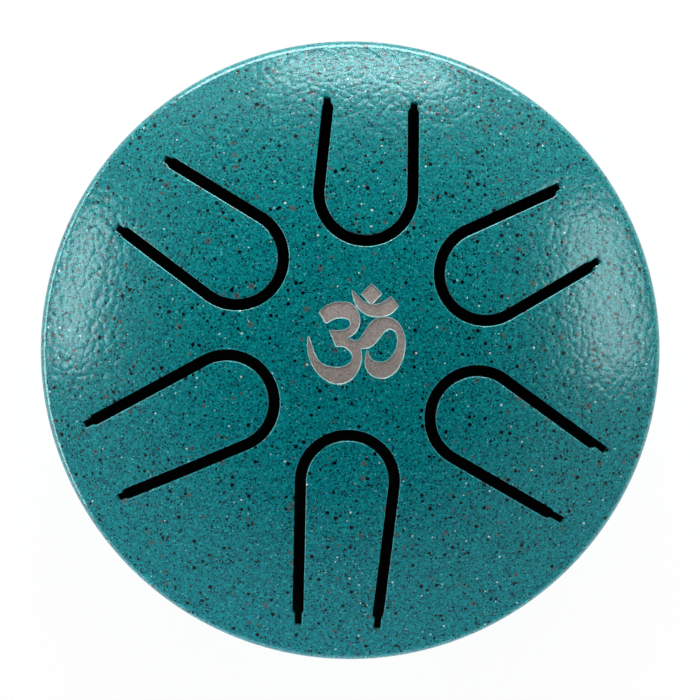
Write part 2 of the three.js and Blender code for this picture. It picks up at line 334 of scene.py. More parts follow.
def even_points(reach: float, step: float) -> Array:
    """Points in rows of equilateral triangles over a square about the origin.

    Args:
        reach: Half the square's side.
        step: Side of the triangles.

    Returns:
        The plan points.
    """
    rows = np.arange(-reach, reach, step * math.sqrt(0.75))
    columns = np.arange(-reach, reach, step)
    y, x = np.meshgrid(rows, columns, indexing="ij")
    x = x + (np.arange(len(rows)) % 2)[:, None] * (step / 2)
    return np.column_stack((x.ravel(), y.ravel()))


def clear_of(points: Array, lines: Sequence[Array], gap: float) -> Array:
    """Keeps the points that lie clear of some lines.

    Args:
        points: Plan points.
        lines: The lines' points.
        gap: Least distance from a kept point to a line's point.

    Returns:
        The kept points.
    """
    for line in lines:
        apart = np.linalg.norm(points[:, None] - line[None], axis=2).min(1)
        points = points[apart > gap]
    return points


def triangulated(loops: Sequence[Array], lines: Sequence[Array],
                 field_points: Array) -> tuple[Array, Array]:
    """Constrained Delaunay triangles over a plan.

    Args:
        loops: Closed loops whose sides stay as edges.
        lines: Open lines whose sides stay as edges.
        field_points: Free points between them.

    Returns:
        The plan points, and the corners of each triangle, anticlockwise.
    """
    stretches = [*loops, *lines]
    starts = np.cumsum([0] + [len(s) for s in stretches])
    edges = []
    for number, stretch in enumerate(stretches):
        index = np.arange(len(stretch)) + starts[number]
        pairs = np.column_stack((index, np.roll(index, -1)))
        edges.append(pairs if number < len(loops) else pairs[:-1])
    points = np.concatenate((*stretches, field_points))
    keep_all, nearness, with_ids = 0, 1e-6, False
    made = delaunay_2d_cdt(points.tolist(), np.concatenate(edges).tolist(), [], keep_all, nearness, with_ids)
    plan, faces = np.array(made[0]), np.array(made[2])
    a, b, c = (plan[faces[:, i]] for i in range(3))
    turn = (b - a)[:, 0] * (c - a)[:, 1] - (b - a)[:, 1] * (c - a)[:, 0]
    faces[turn < 0] = faces[turn < 0][:, ::-1]
    return plan, faces[np.abs(turn) > NO_AREA]


@dataclass
class Skin:
    """The surface of one piece, gathered patch by patch and welded where the patches meet.

    Attributes:
        name: Name of the piece.
        finishes: Its finishes, the main one first.
        points: The points of each patch, in millimetres.
        faces: All faces, as lists of point numbers.
        worn: For each face, the number of its finish.
        count: How many points there are so far.
    """

    name: str
    finishes: tuple[Finish, ...]
    points: list[Array] = field(default_factory=list)
    faces: list[list[int]] = field(default_factory=list)
    worn: list[int] = field(default_factory=list)
    count: int = 0

    def add(self, points: Array, faces: Array, finish: Finish) -> None:
        """Adds a patch.

        Args:
            points: Its points, in millimetres.
            faces: Its faces, as rows of point numbers.
            finish: Its finish.
        """
        self.points.append(points)
        self.faces += (faces + self.count).tolist()
        self.worn += [self.finishes.index(finish)] * len(faces)
        self.count += len(points)

    def add_grid(self, grid: Array, finish: Finish, closed: bool = True) -> None:
        """Adds a grid of points as four-sided faces.

        Args:
            grid: Points in rows and columns.
            finish: Finish of the patch.
            closed: Whether the last column joins the first.
        """
        rows, columns = grid.shape[:2]
        index = np.arange(rows * columns).reshape(rows, columns)
        after = np.roll(index, -1, axis=1)
        corners = np.stack((index[:-1], after[:-1], after[1:], index[1:]), axis=-1)
        used = corners if closed else corners[:, :-1]
        self.add(grid.reshape(-1, 3), used.reshape(-1, 4), finish)

    def build(self, materials: "Materials") -> bpy.types.Object:
        """Welds the patches, turns the faces outwards and makes the object.

        Args:
            materials: Where the finishes' materials come from.

        Returns:
            The piece, at the origin with its place in its mesh.
        """
        mesh = bpy.data.meshes.new(self.name)
        mesh.from_pydata((np.concatenate(self.points) * MM).tolist(), [], self.faces)
        mesh.polygons.foreach_set("material_index", self.worn)
        for finish in self.finishes:
            mesh.materials.append(materials.of(finish))
        shape = bmesh.new()
        shape.from_mesh(mesh)
        bmesh.ops.remove_doubles(shape, verts=shape.verts, dist=WELD_REACH * MM)
        bmesh.ops.recalc_face_normals(shape, faces=shape.faces)
        open_edges = sum(not edge.is_manifold for edge in shape.edges)
        volume = shape.calc_volume(signed=True)
        shape.to_mesh(mesh)
        shape.free()
        mesh.polygons.foreach_set("use_smooth", np.ones(len(mesh.polygons), bool))
        mesh.set_sharp_from_angle(angle=math.radians(SHARP_EDGE))
        piece = bpy.data.objects.new(self.name, mesh)
        bpy.context.scene.collection.objects.link(piece)
        logger.info("%s: %d faces, %d open edges, %.1f mm3", self.name, len(mesh.polygons), open_edges,
                    volume / MM**3)
        return piece


# Node trees


@dataclass(frozen=True)
class Term:
    """A number that varies over a surface. Its operators add Math nodes to its graph.

    Attributes:
        graph: The graph that it belongs to.
        socket: The output that gives it.
    """

    graph: "Graph"
    socket: bpy.types.NodeSocket

    def math(self, operation: str, *values: Any) -> "Term":
        """Adds a Math node.

        Args:
            operation: The node's operation.
            *values: Its inputs, numbers or terms.

        Returns:
            Its result.
        """
        inputs = dict(enumerate(values))
        node = self.graph.add("ShaderNodeMath", {"operation": operation}, inputs)
        return Term(self.graph, node.outputs[0])

    def __add__(self, other: Any) -> "Term":
        """Sum."""
        return self.math("ADD", self, other)

    def __radd__(self, other: Any) -> "Term":
        """Sum with a plain number first."""
        return self.math("ADD", other, self)

    def __sub__(self, other: Any) -> "Term":
        """Difference."""
        return self.math("SUBTRACT", self, other)

    def __rsub__(self, other: Any) -> "Term":
        """Difference with a plain number first."""
        return self.math("SUBTRACT", other, self)

    def __mul__(self, other: Any) -> "Term":
        """Product."""
        return self.math("MULTIPLY", self, other)

    def __rmul__(self, other: Any) -> "Term":
        """Product with a plain number first."""
        return self.math("MULTIPLY", other, self)

    def __truediv__(self, other: Any) -> "Term":
        """Quotient."""
        return self.math("DIVIDE", self, other)

    def __pow__(self, other: Any) -> "Term":
        """Power."""
        return self.math("POWER", self, other)

    def __lt__(self, other: Any) -> "Term":
        """1 where the number is below another, and 0 elsewhere."""
        return self.math("LESS_THAN", self, other)


@dataclass
class Graph:
    """A node tree that starts empty.

    Attributes:
        tree: The tree.
    """

    tree: bpy.types.NodeTree

    def __post_init__(self) -> None:
        """Clears the tree."""
        self.tree.nodes.clear()

    def add(self, kind: str, settings: Mapping[str, Any] | None = None,
            inputs: Mapping[Any, Any] | None = None) -> bpy.types.Node:
        """Makes any node.

        Args:
            kind: The node's type.
            settings: Its settings, set before its sockets.
            inputs: Values, colours or links by socket name, identifier or number.

        Returns:
            The node.
        """
        node = self.tree.nodes.new(kind)
        for name, value in (settings or {}).items():
            setattr(node, name, value)
        for name, value in (inputs or {}).items():
            socket = self.socket_of(node, name)
            if isinstance(value, Term):
                self.tree.links.new(value.socket, socket)
            elif isinstance(value, bpy.types.NodeSocket):
                self.tree.links.new(value, socket)
            else:
                socket.default_value = value
        return node

    @staticmethod
    def socket_of(node: bpy.types.Node, name: Any) -> bpy.types.NodeSocket:
        """Finds an input socket.

        Args:
            node: The node.
            name: The socket's number, identifier or name.

        Returns:
            The socket.
        """
        if isinstance(name, int):
            return node.inputs[name]
        known = {socket.identifier: socket for socket in node.inputs}
        return known[name] if name in known else node.inputs[name]

    def term(self, kind: str, settings: Mapping[str, Any] | None = None,
             inputs: Mapping[Any, Any] | None = None, output: Any = 0) -> Term:
        """Makes a node and wraps one of its outputs as a number."""
        return Term(self, self.add(kind, settings, inputs).outputs[output])

    def place(self) -> bpy.types.NodeSocket:
        """The object's own coordinates."""
        return self.add("ShaderNodeTexCoord").outputs["Object"]

    def noise(self, place: bpy.types.NodeSocket, size: float, detail: float = 0) -> Term:
        """Smooth noise about 0.5, with lumps of about a size in millimetres."""
        inputs = {"Vector": place, "Scale": 1 / (size * MM), "Detail": detail}
        return self.term("ShaderNodeTexNoise", {"noise_dimensions": "3D"}, inputs)

    def wandered(self, place: bpy.types.NodeSocket, size: float, shift: float,
                 detail: float = 2) -> bpy.types.NodeSocket:
        """Shifts a place by noise, each way by up to a distance.

        Args:
            place: Coordinates.
            size: Size of the noise's lumps in millimetres.
            shift: The distance in millimetres.
            detail: Detail of the noise.

        Returns:
            The shifted coordinates.
        """
        noise = self.add("ShaderNodeTexNoise", None, {
            "Vector": place, "Scale": 1 / (size * MM), "Detail": detail})
        return self.add("ShaderNodeVectorMath", {"operation": "MULTIPLY_ADD"}, {
            0: noise.outputs["Color"], 1: (shift * MM,) * 3, 2: place}).outputs[0]

    def domes(self, place: bpy.types.NodeSocket, size: float, softness: float = 0.35,
              wander: float = 0.8, lump: float = 1 / 0.7) -> Term:
        """Low domes side by side, each about a size in millimetres across.

        Their height is 1 - (2 d) squared, where d is the softened distance from the nearest dome's
        middle in sizes. The place is first shifted by noise, so that no two domes are alike.

        Args:
            place: Coordinates.
            size: Mean distance between two domes.
            softness: How softly two domes meet.
            wander: Greatest shift of the place, in sizes.
            lump: Size of the lumps of the noise that shifts it, in sizes.

        Returns:
            The height, up to 1.
        """
        shifted = self.wandered(place, size * lump, size * wander, 0)
        distance = self.term(
            "ShaderNodeTexVoronoi", {"voronoi_dimensions": "3D", "feature": "SMOOTH_F1"},
            {"Vector": shifted, "Scale": 1 / (size * MM), "Smoothness": softness}, "Distance")
        return 1 - distance * distance * 4

    def smooth(self, value: Any, start: float, stop: float) -> Term:
        """Rises smoothly from 0 at start to 1 at stop."""
        inputs = {"Value": value, "From Min": start, "From Max": stop}
        return self.term("ShaderNodeMapRange", {"interpolation_type": "SMOOTHSTEP"}, inputs)

    def between(self, share: Any, first: Any, second: Any) -> bpy.types.NodeSocket:
        """A colour between two colours, at a share of the way from the first to the second."""
        inputs = {"Factor_Float": share, "A_Color": first, "B_Color": second}
        return self.add("ShaderNodeMix", {"data_type": "RGBA"}, inputs).outputs[2]

    def bump(self, height: Term) -> bpy.types.NodeSocket:
        """Normals of a relief whose height is given in millimetres."""
        return self.add("ShaderNodeBump", None, {"Distance": MM, "Height": height}).outputs["Normal"]

    def surface(self, inputs: Mapping[str, Any]) -> None:
        """Ends the tree with one Principled shader."""
        shader = self.add("ShaderNodeBsdfPrincipled", None, inputs)
        self.add("ShaderNodeOutputMaterial", None, {"Surface": shader.outputs[0]})


# Finishes


@dataclass(frozen=True)
class Fleck:
    """One kind of fleck in the paint, a ball of colour in each cell of a random lattice.

    Attributes:
        cell: Spacing of the lattice in millimetres.
        smallest: Least radius of a fleck in millimetres.
        largest: Greatest radius of a fleck in millimetres.
        share: Share of the cells that have a fleck.
        colour: Colour of the flecks.
        strength: How much of the colour under it a fleck hides.
        offset: Shift of the lattice in metres, so that no two kinds fall together.
        soft: Width of a fleck's soft edge, as a share of its radius.
        outline: Where the soft edge ends, as a share of the radius.
    """

    cell: float
    smallest: float
    largest: float
    share: float
    colour: Colour
    strength: float
    offset: float
    soft: float = 0.4
    outline: float = 1.1

    def mask(self, graph: Graph, place: bpy.types.NodeSocket) -> Term:
        """Where the flecks are.

        Args:
            graph: The material's graph.
            place: Coordinates with the flecks' ragged outline worked in.

        Returns:
            A number that rises from 0 to the fleck's strength inside a fleck.
        """
        moved = graph.add("ShaderNodeVectorMath", {"operation": "ADD"}, {0: place, 1: (self.offset,) * 3})
        cells = graph.add("ShaderNodeTexVoronoi", {"voronoi_dimensions": "3D", "feature": "F1"},
                          {"Vector": moved.outputs[0], "Scale": 1 / (self.cell * MM)})
        chance = graph.add("ShaderNodeSeparateColor", None, {0: cells.outputs["Color"]})
        size = Term(graph, chance.outputs[0]) ** 2 * (self.largest - self.smallest) + self.smallest
        reach = Term(graph, cells.outputs["Distance"]) * self.cell / size
        chosen = Term(graph, chance.outputs[1]) < self.share
        return graph.smooth(reach, self.outline, self.outline - self.soft) * chosen * self.strength


@dataclass(frozen=True)
class SpeckledPaint:
    """Glossy teal powder paint: cloudy colour, dark, brown and pale flecks, and an orange-peel relief.

    Attributes:
        light_teal: Colour of the lighter mottle.
        deep_teal: Colour of the darker mottle.
        blue: Colour of the clouds.
        mottle: Size of the mottle in millimetres.
        mottle_range: Stretch of the noise over which the darker mottle turns lighter.
        cloud: Size of the clouds in millimetres.
        cloud_range: Stretch of the noise over which a cloud sets in.
        cloud_share: How much of the teal a cloud hides.
        peel: Distance between two bumps of the orange peel in millimetres.
        peel_height: Height of the bumps in millimetres.
        swell: Size of the broad waves in the paint in millimetres.
        swell_height: Their height in millimetres.
        grain: Size of the finest relief, and of the flecks' ragged outline, in millimetres.
        grain_height: Height of the finest relief in millimetres.
        ragged: How far the flecks' outline wanders, in millimetres.
        metallic: The shader's Metallic.
        roughness: The shader's Roughness.
        specular: The shader's Specular IOR Level.
        flecks: The kinds of flecks, the lowest in the paint first.
    """

    light_teal: Colour = screen(10, 158, 160)
    deep_teal: Colour = screen(0, 88, 94)
    blue: Colour = screen(0, 86, 112)
    mottle: float = 0.55
    mottle_range: tuple[float, float] = (0.22, 0.78)
    cloud: float = 1.5
    cloud_range: tuple[float, float] = (0.52, 0.72)
    cloud_share: float = 0.5
    peel: float = 1.6
    peel_height: float = 0.017
    swell: float = 3.2
    swell_height: float = 0.005
    grain: float = 0.6
    grain_height: float = 0.004
    ragged: float = 0.14
    metallic: float = 0.12
    roughness: float = 0.19
    specular: float = 0.85
    flecks: tuple[Fleck, ...] = (
        Fleck(0.9, 0.12, 0.24, 0.6, screen(110, 200, 200), 0.7, 0.41),
        Fleck(3.4, 0.5, 0.95, 0.55, screen(92, 82, 78), 0.8, 0.67, 0.7),
        Fleck(1.8, 0.26, 0.5, 0.14, screen(86, 78, 78), 0.85, 0.93),
        Fleck(1.6, 0.24, 0.46, 0.7, screen(20, 46, 50), 0.9, 0.31),
        Fleck(0.72, 0.15, 0.27, 0.9, screen(0, 18, 26), 1, 0.17),
        Fleck(1.9, 0.3, 0.62, 0.7, screen(0, 10, 18), 1, 0.53),
        Fleck(2.6, 0.14, 0.32, 0.8, screen(210, 232, 228), 0.95, 0.71),
    )

    def fill(self, graph: Graph) -> None:
        """Draws the paint.

        Args:
            graph: The material's empty graph.
        """
        place = graph.place()
        ragged = graph.wandered(place, self.grain, self.ragged)
        mottle = graph.smooth(graph.noise(place, self.mottle, 2), *self.mottle_range)
        colour = graph.between(mottle, self.deep_teal, self.light_teal)
        cloud = graph.smooth(graph.noise(place, self.cloud, 2), *self.cloud_range)
        colour = graph.between(cloud * self.cloud_share, colour, self.blue)
        for fleck in self.flecks:
            colour = graph.between(fleck.mask(graph, ragged), colour, fleck.colour)
        height = graph.domes(place, self.peel) * self.peel_height
        height = height + graph.noise(place, self.swell) * self.swell_height
        height = height + graph.noise(place, self.grain, 1) * self.grain_height
        graph.surface({
            "Base Color": colour, "Metallic": self.metallic, "Roughness": self.roughness,
            "Specular IOR Level": self.specular, "Normal": graph.bump(height)})


@dataclass(frozen=True)
class PaintEdgeHighlight:
    """The thin pale line round what is cut through the paint: its pale colour is a painted highlight,
    standing in for the light that the rounded edge catches.

    Attributes:
        colour: Its pale colour, the painted highlight.
        shade: The colour of its darker patches.
        patch: Size of the patches in millimetres.
        limits: Stretch of the noise over which one colour turns to the other.
        roughness: The shader's Roughness.
    """

    # Pale colour: painted highlight of the rounded paint edge.
    colour: Colour = screen(172, 198, 196)
    shade: Colour = screen(120, 166, 166)
    patch: float = 1.6
    limits: tuple[float, float] = (0.35, 0.65)
    roughness: float = 0.4

    def fill(self, graph: Graph) -> None:
        """Draws the paint's edge, with its painted highlight.

        Args:
            graph: The material's empty graph.
        """
        place = graph.place()
        share = graph.smooth(graph.noise(place, self.patch, 2), *self.limits)
        graph.surface({
            "Base Color": graph.between(share, self.shade, self.colour), "Roughness": self.roughness})


@dataclass(frozen=True)
class InsideCoatAndShade:
    """The dull, nearly black inside of the drum, with dusty patches. Its near-black colour is partly painted
    shade, standing in for the darkness inside that shows through the slots.

    Attributes:
        colour: Its nearly black colour, partly painted shade.
        dusty: The colour of its dusty patches.
        patch: Size of the patches in millimetres.
        limits: Stretch of the noise over which one colour turns to the other.
        grain: Size of the relief in millimetres.
        relief: Height of the relief in millimetres.
        roughness: The shader's Roughness.
    """

    # Near-black colour: partly painted shade for the dark inside of the drum.
    colour: Colour = screen(7, 8, 9)
    dusty: Colour = screen(18, 20, 21)
    patch: float = 5
    limits: tuple[float, float] = (0.4, 0.75)
    grain: float = 0.8
    relief: float = 0.02
    roughness: float = 0.7

    def fill(self, graph: Graph) -> None:
        """Draws the inside, nearly black as painted shade.

        Args:
            graph: The material's empty graph.
        """
        place = graph.place()
        share = graph.smooth(graph.noise(place, self.patch, 4), *self.limits)
        height = graph.noise(place, self.grain, 2) * self.relief
        graph.surface({
            "Base Color": graph.between(share, self.colour, self.dusty), "Roughness": self.roughness,
            "Normal": graph.bump(height)})


@dataclass(frozen=True)
class EngravedSteel:
    """Steel laid bare under the paint, with a fine matt grain.

    Attributes:
        light: The lighter colour of the grain.
        dark: The darker colour of the grain.
        grain: Size of the grain in millimetres.
        grain_share: Share of the grain in the colour; the patches have the rest.
        patch: Size of the patches in millimetres.
        limits: Stretch of the noise over which dark turns to light.
        relief: Height of the grain in millimetres.
        roughness: Roughness where the grain is dark.
        roughness_swing: What it gains where the grain is light.
    """

    light: Colour = screen(214, 204, 199)
    dark: Colour = screen(168, 158, 154)
    grain: float = 0.35
    grain_share: float = 0.85
    patch: float = 2.6
    limits: tuple[float, float] = (0.3, 0.7)
    relief: float = 0.012
    roughness: float = 0.62
    roughness_swing: float = 0.1

    def fill(self, graph: Graph) -> None:
        """Draws the steel.

        Args:
            graph: The material's empty graph.
        """
        place = graph.place()
        grain = graph.noise(place, self.grain, 2) * self.grain_share
        patch = graph.noise(place, self.patch, 2) * (1 - self.grain_share)
        share = graph.smooth(grain + patch, *self.limits)
        rough = share * self.roughness_swing + self.roughness
        graph.surface({
            "Base Color": graph.between(share, self.dark, self.light), "Metallic": 1.0, "Roughness": rough,
            "Normal": graph.bump(graph.noise(place, self.grain, 1) * self.relief)})


@dataclass(frozen=True)
class FootRubber:
    """Matt black moulded rubber with a little dust on it.

    Attributes:
        colour: Its colour.
        dusty: The colour of its dusty patches.
        grain: Size of the relief in millimetres.
        patch: Size of the patches in millimetres.
        limits: Stretch of the noise over which one colour turns to the other.
        relief: Height of the relief in millimetres.
        roughness: The shader's Roughness.
    """

    colour: Colour = screen(24, 24, 25)
    dusty: Colour = screen(52, 51, 50)
    grain: float = 0.25
    patch: float = 3
    limits: tuple[float, float] = (0.45, 0.8)
    relief: float = 0.012
    roughness: float = 0.78

    def fill(self, graph: Graph) -> None:
        """Draws the rubber.

        Args:
            graph: The material's empty graph.
        """
        place = graph.place()
        share = graph.smooth(graph.noise(place, self.patch, 4), *self.limits)
        height = graph.noise(place, self.grain, 2) * self.relief
        graph.surface({
            "Base Color": graph.between(share, self.colour, self.dusty), "Roughness": self.roughness,
            "Normal": graph.bump(height)})


@dataclass(frozen=True)
class BrightZinc:
    """Bright zinc plating, a little clouded.

    Attributes:
        light: The lighter colour of the plating.
        dark: The darker colour of the plating.
        patch: Size of the clouds in millimetres.
        limits: Stretch of the noise over which dark turns to light.
        grain: Size of the relief in millimetres.
        relief: Height of the relief in millimetres.
        roughness: Roughness where the plating is dark.
        roughness_swing: What it gains where the plating is light.
    """

    light: Colour = screen(205, 208, 210)
    dark: Colour = screen(160, 163, 168)
    patch: float = 1.2
    limits: tuple[float, float] = (0.35, 0.65)
    grain: float = 0.15
    relief: float = 0.003
    roughness: float = 0.28
    roughness_swing: float = 0.12

    def fill(self, graph: Graph) -> None:
        """Draws the plating.

        Args:
            graph: The material's empty graph.
        """
        place = graph.place()
        share = graph.smooth(graph.noise(place, self.patch, 4), *self.limits)
        rough = share * self.roughness_swing + self.roughness
        graph.surface({
            "Base Color": graph.between(share, self.dark, self.light), "Metallic": 1.0, "Roughness": rough,
            "Normal": graph.bump(graph.noise(place, self.grain, 2) * self.relief)})


@dataclass
class Materials:
    """The materials, each made when it is first asked for.

    Attributes:
        made: The materials made so far.
    """

    made: dict[Finish, bpy.types.Material] = field(default_factory=dict)

    def of(self, finish: Finish) -> bpy.types.Material:
        """Gives a finish's material.

        Args:
            finish: The finish.

        Returns:
            Its material.
        """
        if finish not in self.made:
            recipes = {
                Finish.PAINT: SpeckledPaint, Finish.PAINT_EDGE: PaintEdgeHighlight, Finish.INSIDE: InsideCoatAndShade,
                Finish.BARE_STEEL: EngravedSteel, Finish.RUBBER: FootRubber, Finish.ZINC: BrightZinc}
            material = bpy.data.materials.new(finish.material_name)
            material.use_nodes = True
            recipes[finish]().fill(Graph(material.node_tree))
            self.made[finish] = material
        return self.made[finish]


# The dishes


@dataclass(frozen=True)
class Dish:
    """A pressed dish: a flat or domed middle, a knuckle and a straight wall down to its rim.

    Heights in the methods are measured from the rim towards the dish's middle, and turned to the
    frame at the end.

    Attributes:
        rim: Height of the rim in the frame.
        up: 1 for the dish that opens downwards and -1 for the one that opens upwards.
        flat: Radius of the flat middle.
        crown: Radius of the curve past the flat middle.
        knuckle: Radius of the knuckle between the crown and the wall.
        wall: Height of the straight wall.
        radius: Outer radius of the dish.
        sheet: Thickness of the sheet.
        rim_round: Radius of the rim's rounded edges.
        around: Steps round the axis.
        crown_points: Points of the section along the crown, past where it starts.
        knuckle_points: Points of the section along the knuckle.
        rim_points: Points of the section along each rounded edge of the rim.
        wall_step: Greatest distance between two points along the wall.
    """

    rim: float
    up: int
    flat: float
    crown: float
    knuckle: float
    wall: float
    radius: float
    sheet: float = 1.2
    rim_round: float = 0.25
    around: int = 384
    crown_points: int = 12
    knuckle_points: int = 20
    rim_points: int = 5
    wall_step: float = 1.5

    @property
    def tangent(self) -> float:
        """Angle from the axis at which the crown turns into the knuckle, in radians."""
        return math.asin((self.radius - self.knuckle - self.flat) / (self.crown - self.knuckle))

    @property
    def crown_centre(self) -> float:
        """Height of the crown's centre, from the rim."""
        return self.wall - (self.crown - self.knuckle) * math.cos(self.tangent)

    def lift(self, plan: Array, depth: Array | float) -> Array:
        """Points in the sheet over a plan of its outer face.

        Past the flat middle the outer face is a ball, or a ring of one: a point with reach past the
        flat radius stands at the angle whose sine is reach / crown, and moves in along that angle.

        Args:
            plan: Plan points of the outer face.
            depth: Depth under the outer face, square to it.

        Returns:
            The points in the frame.
        """
        radius = np.linalg.norm(plan, axis=-1)
        past = np.maximum(radius - self.flat, 0)
        sine = past / self.crown
        new_radius = radius - sine * depth
        height = self.crown_centre + (self.crown - depth) * np.sqrt(1 - sine**2)
        scale = new_radius / np.maximum(radius, SAME_PLACE)
        height = np.broadcast_to(self.rim + self.up * height, radius.shape)
        return np.concatenate((plan * scale[..., None], height[..., None]), axis=-1)

    def face_line(self, start: float, depth: float) -> Array:
        """Line of (radius, height) down one face of the sheet, from the crown to the rim's round.

        Args:
            start: Radius on the outer face at which the line starts.
            depth: Depth of the face under the outer face.

        Returns:
            The line, measured from the rim.
        """
        first = 90 - math.degrees(math.asin((start - self.flat) / self.crown))
        tangent = 90 - math.degrees(self.tangent)
        crown = arc((self.flat, self.crown_centre), self.crown - depth, first, tangent, self.crown_points)
        middle = (self.radius - self.knuckle, self.wall)
        knuckle = arc(middle, self.knuckle - depth, tangent, 0, self.knuckle_points)
        radius = self.radius - depth
        wall = straight((radius, self.wall), (radius, self.rim_round), self.wall_step)
        return joined(crown, knuckle, wall)

    def edge_line(self, start: float) -> Array:
        """Line of (radius, height) from the outer face at a radius round the rim to the inner face.

        Args:
            start: Radius at which the line leaves the outer face.

        Returns:
            The line in the frame, outer face first.
        """
        edge = self.radius - self.rim_round
        inner_edge = self.radius - self.sheet + self.rim_round
        line = joined(
            self.face_line(start, 0),
            arc((edge, self.rim_round), self.rim_round, 0, -90, self.rim_points),
            arc((inner_edge, self.rim_round), self.rim_round, -90, -180, self.rim_points),
            self.face_line(start, self.sheet)[::-1])
        return line * (1, self.up) + (0, self.rim)

    def outer_count(self, start: float) -> int:
        """How many rows of the edge line lie on the outer face and the rim's outer round."""
        line = self.edge_line(start)
        return int(np.argmax(np.abs(line[:, 1] - self.rim) < SAME_PLACE)) + 1

    def add_edge(self, skin: Skin, start: float) -> None:
        """Adds the knuckle, the wall and the rim, painted outside and nearly black inside, partly a painted
        shade.

        Args:
            skin: The skin to add to.
            start: Radius at which they join the rest of the dish.
        """
        grid = lathe(self.edge_line(start), self.around)
        outer = self.outer_count(start)
        skin.add_grid(grid[:outer], Finish.PAINT)
        skin.add_grid(grid[outer - 1 :], Finish.INSIDE)

    def add_cut(self, skin: Skin, loop: Array, profile: Array, normals: Array, closed: bool = True,
                painted: int = 0) -> None:
        """Adds a cut edge: a profile of (distance into the metal, depth) carried along a plan loop.

        Args:
            skin: The skin to add to.
            loop: Plan points of the cut.
            profile: The profile, from the outer face.
            normals: Plan normals into the metal, one for each point.
            closed: Whether the loop closes.
            painted: How many rows of the profile are painted; the rest is nearly black, partly painted
                shade.
        """
        plan = loop[None] + normals[None] * profile[:, :1, None]
        grid = self.lift(plan, np.broadcast_to(profile[:, 1:], plan.shape[:2]))
        if painted:
            skin.add_grid(grid[: painted + 1], Finish.PAINT, closed)
        skin.add_grid(grid[painted:], Finish.INSIDE, closed)


# The slot pattern


@dataclass(frozen=True)
class Slot:
    """The slot round one tongue. Of a pair of values the first is for the clockwise leg.

    Attributes:
        tongue: Name of the tongue's node.
        legs: Length of each leg from the round end's circle.
        nicks: Length of the narrow stretch at each leg's end.
        asides: Place of each narrow stretch, from 1 at the slot's outer edge to -1 at its inner edge.
        width: Width of the slot.
        nick_width: Width of its narrow stretches.
        shoulder: Length over which it narrows.
        corner: Radius of the corners at a leg's end.
        round_radius: Radius of the round end, at the middle of the slot's width.
        circle: Distance from the pattern's middle to the round end's centre.
        lean: Angle by which each leg leans inwards, in degrees.
        step: Greatest distance between two points along a leg.
        shoulder_points: Points along the arc at each side of a shoulder.
        corner_points: Points round each corner.
        inner_points: Points along the round end's inner edge.
        outer_points: Points along the round end's outer edge.
    """

    tongue: str
    legs: tuple[float, float]
    nicks: tuple[float, float]
    asides: tuple[float, float]
    width: float = 2.7
    nick_width: float = 1.7
    shoulder: float = 1.0
    corner: float = 0.4
    round_radius: float = 11.3
    circle: float = 34.7
    lean: float = 2.66
    step: float = 0.85
    shoulder_points: int = 7
    corner_points: int = 5
    inner_points: int = 44
    outer_points: int = 52

    def edge(self, side: Side, points: Array) -> Array:
        """Turns points along and across a leg into the tongue's plan.

        A leg starts on the round end's circle, leans inwards by the lean angle, and across grows
        away from the tongue: x = side * ((r + across) cos g - along sin g) and
        y = circle + (r + across) sin g + along cos g.

        Args:
            side: Which leg.
            points: Points as (along, across).

        Returns:
            The points in the tongue's plan.
        """
        lean = math.radians(self.lean)
        along, across = points.T
        reach = self.round_radius + across
        x = side.value * (reach * math.cos(lean) - along * math.sin(lean))
        return np.column_stack((x, self.circle + reach * math.sin(lean) + along * math.cos(lean)))

    def leg(self, side: Side) -> tuple[Array, int]:
        """Outline of one leg, out along the slot's outer edge, round its narrow end and back.

        Args:
            side: Which leg.

        Returns:
            The points in the tongue's plan, and the number of the one at the tongue's root.
        """
        which = 0 if side is Side.CLOCKWISE else 1
        half, half_nick = self.width / 2, self.nick_width / 2
        middle = self.asides[which] * (half - half_nick)
        outer, inner = middle + half_nick, middle - half_nick
        end = self.legs[which]
        start = end - self.nicks[which] - self.shoulder
        root = end - self.corner
        out_angle = math.degrees(math.asin(min(1, outer / half)))
        in_angle = math.degrees(math.asin(max(-1, inner / half)))
        shoulder_out = arc((start, 0), half, 90, out_angle, self.shoulder_points)
        shoulder_in = arc((start, 0), half, in_angle, -90, self.shoulder_points)
        outwards = joined(
            straight((0, half), (start, half), self.step), shoulder_out,
            straight(shoulder_out[-1], (root, outer), self.step),
            arc((root, outer - self.corner), self.corner, 90, 0, self.corner_points),
            straight((end, outer - self.corner), (end, inner + self.corner), self.step / 2),
            arc((root, inner + self.corner), self.corner, 0, -90, self.corner_points))
        back = joined(
            straight((root, inner), shoulder_in[0], self.step), shoulder_in,
            straight((start, -half), (0, -half), self.step))
        return self.edge(side, joined(outwards, back)), len(outwards) - 1

    def outline(self) -> tuple[Array, int, int]:
        """The whole slot as one loop with the slot on its left.

        Returns:
            The loop in the tongue's plan and the numbers of its points at the tongue's root, on the
            clockwise side and on the other.
        """
        right, right_root = self.leg(Side.CLOCKWISE)
        left, left_root = self.leg(Side.ANTICLOCKWISE)
        half = self.width / 2
        centre = (0, self.circle)
        inner = arc(centre, self.round_radius - half, self.lean, -180 - self.lean, self.inner_points)
        outer = arc(centre, self.round_radius + half, -180 - self.lean, self.lean, self.outer_points)
        loop = joined(right, inner[1:-1], left[::-1], outer[1:-1])
        start_of_left = len(right) + len(inner) - 2
        return loop, right_root, start_of_left + len(left) - 1 - left_root


# The engraved sign

